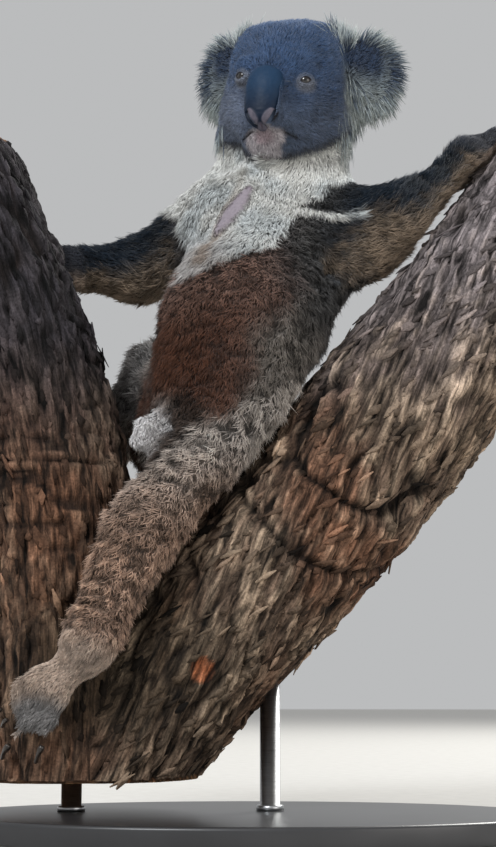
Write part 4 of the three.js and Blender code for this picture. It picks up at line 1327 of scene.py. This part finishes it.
def ear_fringe(mesh, weights, material):
    """Long pale hair on the rim of each ear, and streaks of it that hang over the lower hollow."""
    random = np.random.default_rng(SEED + 1)
    points, normals = mesh_points(mesh), mesh_normals(mesh)
    triangles = mesh_triangles(mesh)
    ear = weights[:, ZONES.index("ear")]
    for side, name in ((1, "left"), (-1, "right")):
        centre, axes = ear_frame(side)
        local = (points - centre) @ axes
        mine = ear * (np.sign(to_head(points)[:, 0]) == side)
        out = local[:, 0] * side
        rim = smooth_step(0.58, 0.82, np.hypot((out + 12) / 42, local[:, 2] / 46))
        hollow = smooth_step(0, -4, local[:, 1]) * smooth_step(-2, -22, local[:, 2])
        density = mine * np.clip(rim + hollow, 0, 1.3) * smooth_step(12, -4, local[:, 1])
        count = 3000
        chosen, shares = scattered(triangles, points, density, count, random)
        corners = triangles[chosen]
        roots = np.einsum("nk,nkd->nd", shares, points[corners])
        facing = unit(np.einsum("nk,nkd->nd", shares, normals[corners]))
        spot = (roots - centre) @ axes
        outward = np.stack((spot[:, 0] + side * 30, np.full(count, -6.0), spot[:, 2] * 1.15), axis=1)
        outward = unit(unit(outward) + random.normal(0, 0.16, (count, 3))) @ axes.T
        low = smooth_step(0, -26, spot[:, 2])
        length = random.uniform(15, 29, count) * (1 + 0.25 * low)
        droop = np.array((0, 0, -1.0))
        first = roots + unit(outward + 0.3 * facing) * (length * 0.3)[:, None]
        second = first + unit(outward + (0.1 + 0.35 * low)[:, None] * droop) * (length * 0.35)[:, None]
        last = second + unit(outward + (0.4 + 0.6 * low)[:, None] * droop) * (length * 0.35)[:, None]
        lines = np.stack((roots - facing * 0.6, first, second, last), axis=1)
        edge = np.clip(smooth_step(0.45, 0.8, np.hypot(spot[:, 0] / 42, spot[:, 2] / 46)) + low, 0, 1)
        streak = np.clip(random.random(count) * 0.8 + 0.6 * lumps(spot, 7, 55) + 0.2, 0, 1)
        colours = mixed(np.tile(EAR_IN, (count, 1)), EAR_BACK, streak)
        colours = mixed(colours, EAR_FRINGE, streak * edge * 0.7)
        tips = mixed(np.tile(EAR_IN, (count, 1)), EAR_FRINGE, np.clip(0.15 + edge * (0.35 + streak), 0, 1))
        tips = mixed(tips, EAR_PALE * 1.25, streak * edge)
        tufts = {"lines": lines, "normals": facing, "width": random.uniform(1.0, 1.9, count),
                 "colours": colours, "tips": tips, "contrast": np.full(count, 0.4)}
        coat_piece(f"fringe_ear_{name}", tufts, material, "pale_fur", long_hair=True)


# ---------------------------------------------------------------- nose, eyes, claws


def make_nose(material):
    """The bare pad: a broad leathery shield that ends in a point between two pink lobes. A slit of a nostril
    curls round the outside of each lobe."""
    high, wide, ahead = (np.array(column, float) for column in zip(*NOSE_PROFILE))
    levels = np.linspace(high[0], high[-1], 110)
    half = np.interp(-levels, -high, wide)
    front = np.interp(-levels, -high, ahead)
    for _ in range(14):
        half[1:-1] = (half[:-2] + half[2:]) / 2
        front[1:-1] = (front[:-2] + front[2:]) / 2
    sides = 130
    spin = np.arange(sides) / sides * 2 * math.pi
    c, s = np.cos(spin), np.sin(spin)
    x = NOSE_MIDDLE + half[:, None] * np.sign(c) * np.abs(c) ** 0.86
    back = np.maximum(half, 6)[:, None] * 0.9
    y = front[:, None] + back * (1 - np.where(s > 0, np.abs(s) ** 0.9, s * 0.55))
    local = np.stack((x, y, np.broadcast_to(levels[:, None], x.shape)), axis=2).reshape(-1, 3)
    faces = []
    for row in range(len(levels) - 1):
        for k in range(sides):
            a, b = row * sides + k, row * sides + (k + 1) % sides
            faces.append((a, a + sides, b + sides, b))
    shape = bmesh.new()
    verts = [shape.verts.new(p) for p in from_head(local) * MM]
    for face in faces:
        shape.faces.new([verts[v] for v in face])
    shape.faces.new(verts[:sides])
    shape.faces.new(verts[-sides:][::-1])
    bmesh.ops.recalc_face_normals(shape, faces=shape.faces)
    mesh = bpy.data.meshes.new("nose_pad")
    shape.to_mesh(mesh)
    shape.free()

    edges = mesh_edges(mesh)
    points, normals = mesh_points(mesh), unit(relaxed(mesh_normals(mesh), edges, 6))
    local = to_head(points)
    flat = local[:, ::2]
    ahead = smooth_step(-86, -93, local[:, 1])
    lobe, slit = np.zeros(len(points)), np.zeros(len(points))
    for side in (-1, 1):
        share, away = along_bone(flat, (side * 12.6, -41.0), (side * 5.4, -50.5))
        lobe = np.maximum(lobe, smooth_step(4.6, 2.6, away - 0.8 * np.sin(share * math.pi)))
        curve = flat + np.stack((side * 0.02 * (flat[:, 1] + 47) ** 2, np.zeros(len(flat))), axis=1)
        _, away = along_bone(curve, (side * 17.4, -41.5), (side * 8.6, -55.5))
        slit = np.maximum(slit, smooth_step(3.0, 1.6, away))
    lobe, slit = lobe * ahead, slit * smooth_step(-80, -86, local[:, 1])
    seam = np.exp(-(flat[:, 0] / 1.3) ** 2) * smooth_step(-44, -52, local[:, 2]) * ahead
    out = 1.5 * lobe - 4.6 * slit - 1.4 * seam
    out += 0.5 * lumps(points, (12, 12, 12), 63) + 0.25 * lumps(points, (2.6, 2.6, 2.6), 64) * (1 - lobe)
    set_points(mesh, points + normals * out[:, None])
    colours = np.tile(NOSE_SKIN, (len(points), 1)) * (1 + 0.22 * lumps(points, 9, 61))[:, None]
    # painted reflection of the sky, lightening the pad towards its top
    colours = mixed(colours, NOSE_SKY_REFLECTION, smooth_step(-40, 0, local[:, 2]) * 0.8)
    under = smooth_step(-52, -56, local[:, 2]) * smooth_step(8, 5, np.abs(flat[:, 0]))
    rosy = np.clip(lobe + 0.9 * under, 0, 1)
    rosy = rosy * (0.85 + 0.3 * lumps(points, 3.5, 62))
    colours = mixed(colours, NOSE_LOBE, np.clip(rosy, 0, 1) * 0.9)
    colours = mixed(colours, NOSE_SEAM, seam * 0.6 * rosy)
    colours = mixed(colours, NOSTRIL, slit)
    set_colours(mesh, "coat", colours)
    return finished("nose_pad", mesh, material, "nose", "nose")


# Half the width and half the height of a pupil.
PUPIL_SIZE = (1.7, 3.0)


def make_eye(side, material):
    """An eyeball with a bulging cornea, a dark iris and an upright slit for a pupil."""
    name = "left" if side > 0 else "right"
    gaze = unit(np.array((side * 0.36, -0.93, -0.06)))
    upright = unit(np.array((0, 0, 1.0)) - gaze * gaze[2])
    across = np.cross(gaze, upright)
    rings, sides = 40, 48
    bend = np.linspace(0, math.pi, rings + 1)[1:-1]
    round_it = np.arange(sides) / sides * 2 * math.pi
    off = np.repeat(bend, sides)
    spin = np.tile(round_it, len(bend))
    off = np.concatenate(([0.0], off, [math.pi]))
    spin = np.concatenate(([0.0], spin, [0.0]))
    radius = EYE_RADIUS - 0.35 + 0.3 * np.exp(-(off / 0.55) ** 2)
    ways = (np.cos(off)[:, None] * gaze + (np.sin(off) * np.cos(spin))[:, None] * across
            + (np.sin(off) * np.sin(spin))[:, None] * upright)
    centre = np.array(EYES[side])
    local = centre + ways * radius[:, None]
    faces = [(0, 1 + (k + 1) % sides, 1 + k) for k in range(sides)]
    last = 1 + (rings - 2) * sides
    for ring in range(rings - 2):
        first = 1 + ring * sides
        for k in range(sides):
            a, b = first + k, first + (k + 1) % sides
            faces += [(a, b, b + sides), (a, b + sides, a + sides)]
    tail = len(local) - 1
    faces += [(tail, last + k, last + (k + 1) % sides) for k in range(sides)]
    mesh = face_mesh(f"eyeball_{name}", from_head(local), np.array(faces))
    shape = bmesh.new()
    shape.from_mesh(mesh)
    bmesh.ops.recalc_face_normals(shape, faces=shape.faces)
    shape.to_mesh(mesh)
    shape.free()
    flat_x = np.sin(off) * np.cos(spin) * EYE_RADIUS
    flat_y = np.sin(off) * np.sin(spin) * EYE_RADIUS
    half_wide, half_high = PUPIL_SIZE
    pupil = smooth_step(1.1, 0.8, np.hypot(flat_x / half_wide, flat_y / half_high))
    iris = smooth_step(5.2, 4.8, off * EYE_RADIUS)
    colours = np.tile(EYEBALL, (len(off), 1))
    colours = mixed(colours, IRIS, iris)
    colours = mixed(colours, IRIS_EDGE, iris * smooth_step(3.2, 4.6, off * EYE_RADIUS))
    colours = mixed(colours, PUPIL, pupil * (off < 1.5))
    set_colours(mesh, "coat", colours)
    return finished(f"eyeball_{name}", mesh, material, "eye", f"eye_{name}")


def make_claws(paw, material):
    """The hooked claws of one paw, rounded from the frame's."""
    nodes = sorted(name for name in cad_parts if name.startswith(f"claw_{paw}_"))
    shape = joined_copies(nodes, 0.35)
    bmesh.ops.subdivide_edges(shape, edges=shape.edges[:], cuts=3, smooth=0.7, use_grid_fill=True)
    for _ in range(2):
        bmesh.ops.smooth_vert(shape, verts=shape.verts, factor=0.5, use_axis_x=True, use_axis_y=True,
                              use_axis_z=True)
    mesh = closed_mesh(f"claws_{paw}", shape)
    return finished(f"claws_{paw}", mesh, material, "claw", *nodes)


# ---------------------------------------------------------------- the fork


def log_place(points, log):
    """Where points lie on a log: along it, their offset from its middle line, and its axis."""
    start, end, bow = (np.array(log[key], float) for key in ("start", "end", "bow"))
    axis = end - start
    length = np.linalg.norm(axis)
    axis = axis / length
    along = (points - start) @ axis
    t = np.clip(along / length, 0, 1)
    away = points - start - along[:, None] * axis - (4 * t * (1 - t))[:, None] * bow
    radius = np.interp(t, (0, 1), log["radii"])
    return along, away, axis, length, radius


def grain_place(points, log):
    """Places in the wood's own grain, which winds round the log: two across it and one along."""
    along, away, axis, _, _ = log_place(points, log)
    side = unit(np.cross(axis, (0, 1, 0)))
    front = np.cross(side, axis)
    turn = -log["winding"] * along
    a, b = away @ side, away @ front
    c, s = np.cos(turn), np.sin(turn)
    return np.stack((a * c - b * s, a * s + b * c, along), axis=1)


def bark_pattern(flat, seed):
    """Depth of the furrows, from 0 on a plate to 1 in a crack, and the plates' own unevenness."""
    warp = np.stack([lumps(flat, 48, seed + k) for k in range(3)], axis=1)
    bent = flat + warp * (9, 9, 30)
    wide = lumps(bent, (19, 19, 85), seed + 5)
    mid = lumps(bent, (11, 11, 44), seed + 6)
    small = lumps(bent, (7.5, 7.5, 19), seed + 7)
    broken = smooth_step(-0.35, 0.25, lumps(flat, (26, 26, 60), seed + 9))
    cracks = np.exp(-(wide / 0.13) ** 2) * (0.35 + 0.65 * broken)
    cracks = np.maximum(cracks, 0.7 * np.exp(-(mid / 0.15) ** 2) * (1.1 - 0.6 * broken))
    cracks = np.maximum(cracks, 0.42 * np.exp(-(small / 0.2) ** 2))
    uneven = 0.55 * mid + 0.8 * small
    uneven = uneven + 0.7 * lumps(flat, 60, seed + 8) + 0.5 * lumps(bent, (5, 5, 11), seed + 10)
    return cracks, uneven


# A burl on the limb: its middle, and the curved furrows round it, each with its distance and depth in mm.
BURL = np.array((132.0, -65.0, 418.0))
BURL_FURROWS = ((80, 10), (149, 7))
# The healed scar of a small branch on the limb, its radius, and where the trunk's bark is pressed into folds
# above the fork.
SCAR = np.array((-47.0, -62.0, 173.0))
SCAR_RADIUS = 13
PRESSED = ((-222, -60, 372), (85, 70, 62))


def burl_furrows(points):
    """Deep curved furrows on the low side of the burl, where the wood has folded round it."""
    off = points - BURL
    away = np.linalg.norm(off * (1, 0.8, 1), axis=1)
    depth = np.zeros(len(points))
    for radius, deep in BURL_FURROWS:
        low_side = smooth_step(0.5, -0.15, (off[:, 0] * 0.75 + off[:, 2] * 0.66) / radius)
        ahead = smooth_step(70, 20, points[:, 1])
        line = away - radius - 9 * lumps(points, 40, 81)
        depth += deep * np.exp(-(line / 4.5) ** 2) * low_side * ahead
        depth -= 0.35 * deep * np.exp(-((line - 15) / 11) ** 2) * low_side * ahead
    return depth


def make_fork(material):
    """Both logs as one piece of wood, furrowed along each, with flat sawn ends."""
    mesh = remeshed(joined_copies(["perch_trunk", "perch_limb"], 0.4), BARK_VOXEL)
    points = mesh_points(mesh)
    edges = mesh_edges(mesh)
    places = [log_place(points, log) for log in LOGS.values()]
    clear = np.stack([np.linalg.norm(place[1], axis=1) - place[4] for place in places], axis=1)
    own = np.argmin(clear, axis=1)
    sawn = smooth_step(SAWN_FOOT + 2.5, SAWN_FOOT + 1.0, points[:, 2])
    for number, (along, _, _, length, _) in enumerate(places):
        sawn = np.maximum(sawn, (own == number) * smooth_step(length - 2.5, length - 1.0, along))
    rounded(mesh, 30, 0.6 * (1 - smooth_step(0, 0.2, relaxed(sawn, edges, 3))))
    points, normals = mesh_points(mesh), mesh_normals(mesh)
    cracks, uneven, ring = (np.zeros(len(points)) for _ in range(3))
    grain, grain_way = np.zeros_like(points), np.zeros_like(points)
    shares = relaxed(np.eye(2)[own], edges, 8)
    for number, (log, seed) in enumerate(zip(LOGS.values(), (100, 200))):
        mine = own == number
        flat = grain_place(points, log)
        own_cracks, own_uneven = bark_pattern(flat, seed)
        cracks += own_cracks * shares[:, number]
        uneven += own_uneven * shares[:, number]
        _, away, axis, _, _ = log_place(points, log)
        ring[mine] = np.linalg.norm(away, axis=1)[mine]
        grain[mine] = flat[mine]
        grain_way[mine] = (axis + np.cross(axis, away) * log["winding"])[mine]
    bark = 1 - relaxed(sawn, edges, 1)
    furrow = burl_furrows(points)
    pressed = ball(points, *PRESSED, 0.6) * shares[:, 0]
    cracks = cracks * (1 - 0.6 * pressed)
    crease = np.exp(-(lumps(points, (60, 60, 9), 73) / 0.16) ** 2) * pressed
    cracks = np.maximum(cracks, crease)
    from_scar = np.linalg.norm(points - SCAR, axis=1)
    scar = smooth_step(SCAR_RADIUS + 1.5, SCAR_RADIUS - 1.5, from_scar)
    collar = np.exp(-((from_scar - SCAR_RADIUS - 3) / 3.0) ** 2)
    cracks = cracks * (1 - scar)
    relief = -7.5 * cracks + 3.2 * uneven * (1 - 0.7 * scar) - furrow + 3.0 * collar - 2.0 * scar
    moved = points + normals * (relief * bark)[:, None]
    set_points(mesh, moved)

    plate = mixed(np.tile(BARK_LOW, (len(points), 1)), BARK_HIGH, smooth_step(-0.5, 1.0, uneven))
    grey = smooth_step(420, 650, points[:, 2] + 40 * lumps(points, 70, 72))
    plate = mixed(plate, BARK_GREY, grey * 0.65)
    red = smooth_step(-0.05, 0.7, lumps(points, 90, 71)) * (0.6 - 0.4 * grey)
    colours = mixed(plate, BARK_RED, red)
    on_trunk = shares[:, 0]
    colours = mixed(colours, TRUNK_BROWN, on_trunk * 0.55)
    # painted shade darkening the trunk from 340 mm up
    colours = mixed(colours, TRUNK_TOP_SHADE, smooth_step(340, 540, points[:, 2]) * on_trunk * 0.9)
    # painted shade in the crotch of the fork
    colours = mixed(colours, FORK_CROTCH_SHADE, ball(points, (-130, -20, 180), (120, 130, 90), 0.9) * 0.75)
    colours = mixed(colours, SCAR_WOOD, scar * (0.8 + 0.2 * lumps(points, 6, 74)))
    # painted shade in the cracks and in the burl's furrows
    colours = mixed(colours, CRACK_SHADE, np.clip(cracks + np.maximum(furrow, 0) / 9, 0, 1) * 0.92)
    set_colours(mesh, "coat", colours)
    set_values(mesh, "sawn", sawn)
    set_values(mesh, "ring", ring)
    set_vectors(mesh, "grain", grain * MM)
    set_vectors(mesh, "grain_way", unit(grain_way))
    hidden = 1 - smooth_step(0.02, 0.2, relaxed(sawn, edges, 2))
    set_values(mesh, "flaky", hidden * (1 - scar) * smooth_step(0.9, 0.3, cracks))
    return finished("fork_bark", mesh, material, "bark", "perch_trunk", "perch_limb")


def flake_tree():
    """Geometry nodes that lay thin plates of loose bark over a surface, each along the wood's grain."""
    tree = bpy.data.node_groups.new("bark_flakes", "GeometryNodeTree")
    sizes = [(key.capitalize(), "Float", value) for key, value in FLAKES.items()]
    sockets = [("Bark", "Geometry", None), *sizes, ("Seed", "Int", SEED), ("Finish", "Material", None)]
    for name, kind, value in sockets:
        socket = tree.interface.new_socket(name, in_out="INPUT", socket_type=f"NodeSocket{kind}")
        if value is not None:
            socket.default_value = value
    tree.interface.new_socket("Flakes", in_out="OUTPUT", socket_type="NodeSocketGeometry")
    given = add(tree, "NodeGroupInput").outputs

    # where the flakes lie: denser where the bark is loose
    flaky = add(tree, "GeometryNodeInputNamedAttribute", {"Name": "flaky"}, data_type="FLOAT")
    density = maths(tree, "MULTIPLY", flaky.outputs[0], given["Density"])
    spread = add(tree, "GeometryNodeDistributePointsOnFaces",
                 {"Mesh": given["Bark"], "Density": density, "Seed": given["Seed"]})
    # each flake is lighter or darker than the bark that it lies on
    under = add(tree, "GeometryNodeInputNamedAttribute", {"Name": "coat"}, data_type="FLOAT_COLOR")
    light = add(tree, "FunctionNodeRandomValue", {2: 0.55, 3: 1.4, "Seed": 13}, data_type="FLOAT")
    toned = add(tree, "ShaderNodeVectorMath", {0: under.outputs[0], "Scale": light.outputs[1]},
                operation="SCALE")
    coloured = add(tree, "GeometryNodeStoreNamedAttribute",
                   {"Geometry": spread.outputs["Points"], "Name": "coat", "Value": toned.outputs[0]},
                   data_type="FLOAT_COLOR", domain="POINT")
    way = add(tree, "GeometryNodeInputNamedAttribute", {"Name": "grain_way"}, data_type="FLOAT_VECTOR")
    flat = add(tree, "FunctionNodeAlignRotationToVector", {"Vector": spread.outputs["Normal"]}, axis="Z")
    lying = add(tree, "FunctionNodeAlignRotationToVector",
                {"Rotation": flat.outputs[0], "Vector": way.outputs[0]}, axis="X", pivot_axis="Z")
    tilt = add(tree, "FunctionNodeRandomValue",
               {"Min": (-0.3, -0.1, -0.18), "Max": (0.3, 0.1, 0.18), "Seed": 11}, data_type="FLOAT_VECTOR")
    tilted = add(tree, "FunctionNodeRotateRotation",
                 {"Rotation": lying.outputs[0], "Rotate By": tilt.outputs["Value"]}, rotation_space="LOCAL")

    # one flake: a plate that narrows to both ends
    size = add(tree, "ShaderNodeCombineXYZ", {0: given["Length"], 1: given["Width"], 2: given["Thickness"]})
    plate = add(tree, "GeometryNodeMeshCube",
                {"Size": size.outputs[0], "Vertices X": 3, "Vertices Y": 2, "Vertices Z": 2})
    place = add(tree, "GeometryNodeInputPosition")
    split = add(tree, "ShaderNodeSeparateXYZ", {0: place.outputs[0]}).outputs
    share = maths(tree, "DIVIDE", split[0], given["Length"])
    narrow = maths(tree, "MULTIPLY_ADD", maths(tree, "MULTIPLY", share, share), -3.0, 1.0)
    across = maths(tree, "MULTIPLY", split[1], narrow)
    upright = maths(tree, "MULTIPLY", split[2], narrow)
    slim = add(tree, "ShaderNodeCombineXYZ", {0: split[0], 1: across, 2: upright})
    shaped = add(tree, "GeometryNodeSetPosition",
                 {"Geometry": plate.outputs["Mesh"], "Position": slim.outputs[0]})

    grown = add(tree, "FunctionNodeRandomValue",
                {"Min": (0.35, 0.5, 0.6), "Max": (1.8, 1.9, 1.3), "Seed": 12}, data_type="FLOAT_VECTOR")
    laid = add(tree, "GeometryNodeInstanceOnPoints",
               {"Points": coloured.outputs[0], "Instance": shaped.outputs[0], "Rotation": tilted.outputs[0],
                "Scale": grown.outputs["Value"]})
    real = add(tree, "GeometryNodeRealizeInstances", {"Geometry": laid.outputs[0]})
    # each flake warps a little, so that no two are alike
    warp = add(tree, "ShaderNodeTexNoise", {"Vector": place.outputs[0], "Scale": 1 / (7 * MM)})
    centred = add(tree, "ShaderNodeVectorMath", {0: warp.outputs["Color"], 1: (0.5, 0.5, 0.5)},
                  operation="SUBTRACT")
    offset = add(tree, "ShaderNodeVectorMath", {0: centred.outputs[0], "Scale": 5 * MM}, operation="SCALE")
    warped = add(tree, "GeometryNodeSetPosition", {"Geometry": real.outputs[0], "Offset": offset.outputs[0]})
    done = add(tree, "GeometryNodeSetMaterial", {"Geometry": warped.outputs[0], "Material": given["Finish"]})
    add(tree, "NodeGroupOutput", {0: done.outputs[0]})
    return tree


def make_flakes(fork, material):
    """The loose plates of bark that stand off the fork, as one piece."""
    tree = flake_tree()
    bearer = bpy.data.objects.new("flake_bearer", fork.data.copy())
    bpy.context.scene.collection.objects.link(bearer)
    modifier = bearer.modifiers.new("flakes", "NODES")
    modifier.node_group = tree
    sockets = {item.name: item.identifier for item in tree.interface.items_tree if item.in_out == "INPUT"}
    modifier[sockets["Finish"]] = material
    modifier[sockets["Seed"]] = SEED
    graph = bpy.context.evaluated_depsgraph_get()
    mesh = bpy.data.meshes.new_from_object(bearer.evaluated_get(graph))
    bpy.data.objects.remove(bearer)
    mesh.name = "bark_flakes"
    return finished("bark_flakes", mesh, material, "bark")


# ---------------------------------------------------------------- the stand


def lathed(name, profile, centre, stretch=(1, 1), sides=96):
    """A closed shape turned about an upright axis. profile holds (radius, height), and stretch is what a
    radius is multiplied by along x and along y."""
    spin = np.arange(sides) / sides * 2 * math.pi
    circle = np.stack((np.cos(spin) * stretch[0], np.sin(spin) * stretch[1]), axis=1)
    rows = []
    for radius, height in profile:
        ring = np.empty((sides, 3))
        ring[:, :2] = circle * radius + np.asarray(centre)
        ring[:, 2] = height
        rows.append(ring)
    points = np.concatenate(rows)
    shape = bmesh.new()
    verts = [shape.verts.new(p * MM) for p in points]
    for row in range(len(profile) - 1):
        for k in range(sides):
            a, b = row * sides + k, row * sides + (k + 1) % sides
            shape.faces.new((verts[a], verts[b], verts[b + sides], verts[a + sides]))
    shape.faces.new(verts[:sides][::-1])
    shape.faces.new(verts[-sides:])
    return closed_mesh(name, shape)


def make_stand(lacquer, steel):
    """The oval base, with a rounded upper edge, and its two rods, each in a collar."""
    low, high = (np.array(corner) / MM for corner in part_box("stand_base"))
    half = (high - low)[:2] / 2
    top = high[2]
    edge = 4
    profile = [(1 - 2 / half[1], low[2]), (1 - 0.5 / half[1], low[2] + 0.6), (1, low[2] + 2)]
    for angle in np.linspace(0, math.pi / 2, 7):
        profile.append((1 - edge * (1 - math.cos(angle)) / half[1], top - edge + edge * math.sin(angle)))
    base = lathed("stand_plate", profile, (low + high)[:2] / 2, half, sides=160)
    finished("stand_plate", base, lacquer, "lacquer", "stand_base")
    for node in ("stand_rod_fork", "stand_rod_limb"):
        low, high = (np.array(corner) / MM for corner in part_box(node))
        middle = (low + high)[:2] / 2
        radius = (high - low)[0] / 2
        collar = radius + 4
        foot = top + 0.1
        profile = [(collar, foot), (collar, foot + 5), (collar - 1.2, foot + 6.2), (radius, foot + 6.2),
                   (radius, high[2] + 3)]
        shape = lathed(node.replace("stand_", "stand_steel_"), profile, middle, sides=48)
        finished(shape.name, shape, steel, "steel", node)


# ---------------------------------------------------------------- floor, light and camera


def make_floor():
    """The studio floor, a plain disk just under the stand."""
    mesh = bpy.data.meshes.new("floor")
    reach, sides = 14, 96
    angles = np.arange(sides) * 2 * math.pi / sides
    corners = [(reach * math.cos(angle), reach * math.sin(angle), -0.0003) for angle in angles]
    mesh.from_pydata(corners, [], [tuple(range(sides))])
    mesh.materials.append(floor_material())
    floor = bpy.data.objects.new("floor", mesh)
    bpy.context.scene.collection.objects.link(floor)


def make_light(name, place, target, size, power, colour):
    """A round soft light that faces its target. Its size is in metres and its power in watts."""
    light = bpy.data.lights.new(name, "AREA")
    light.shape = "DISK"
    light.size = size
    light.energy = power
    light.color = colour
    lamp = bpy.data.objects.new(name, light)
    lamp.location = place
    lamp.rotation_euler = (Vector(target) - Vector(place)).to_track_quat("-Z", "Y").to_euler()
    bpy.context.scene.collection.objects.link(lamp)


def make_studio():
    """Soft light: a cool key from high in front, a low warm fill from one side, and a rim from behind."""
    make_floor()
    middle = (-0.02, 0.05, 0.55)
    make_light("key", (-2.2, -4.0, 3.9), middle, 1.9, 195, (0.94, 0.97, 1.0))
    make_light("fill", (4.0, -3.4, 1.3), middle, 3.6, 56, (1.0, 0.95, 0.9))
    make_light("rim", (2.7, 3.6, 4.3), middle, 2.4, 250, (1.0, 0.99, 0.95))
    world = bpy.data.worlds.new("studio")
    world.use_nodes = True
    world.node_tree.nodes["Background"].inputs["Color"].default_value = (0.8, 0.81, 0.82, 1)
    world.node_tree.nodes["Background"].inputs["Strength"].default_value = 0.62
    bpy.context.scene.world = world
    bpy.context.scene.view_settings.view_transform = "Standard"


def make_camera():
    """The camera of the main view."""
    data = bpy.data.cameras.new("camera")
    data.sensor_width = SENSOR
    data.lens = SENSOR * FOCAL / FRAME_HEIGHT
    data.clip_start = 0.05
    data.clip_end = 50
    camera = bpy.data.objects.new("camera", data)
    camera.location = CAMERA_AT
    camera.rotation_euler = (math.radians(90 + CAMERA_UP), 0, 0)
    bpy.context.scene.collection.objects.link(camera)
    bpy.context.scene.camera = camera


# ---------------------------------------------------------------- the model


def make_model():
    """All the pieces of the animal, the fork and the stand."""
    bark = bark_material()
    fork = make_fork(bark)
    make_flakes(fork, bark)
    bark_tree = BVHTree.FromObject(fork, bpy.context.evaluated_depsgraph_get())
    skin, weights, owner = make_skin()
    points, normals = mesh_points(skin), mesh_normals(skin)
    fur = coat_material()
    make_coat(skin, weights, owner, bark_tree, fur)
    ear_fringe(skin, weights, fur)
    # Painted shade under the coat: the skin takes 0.6 of the coat's colour, and its full colour only on the
    # bare gland.
    bare = gland_mask(points)
    under = coat_colour(points, normals, weights) * (0.6 + 0.4 * bare)[:, None]
    set_colours(skin, "coat", under)
    finished("skin", skin, skin_material(), "fur", *FLESH)
    make_nose(nose_material())
    eye = eye_material()
    for side in (-1, 1):
        make_eye(side, eye)
    claw = claw_material()
    for paw in ("hand_left", "hand_right", "foot_left", "foot_right"):
        make_claws(paw, claw)
    make_stand(lacquer_material(), steel_material())


make_model()
make_studio()
make_camera()
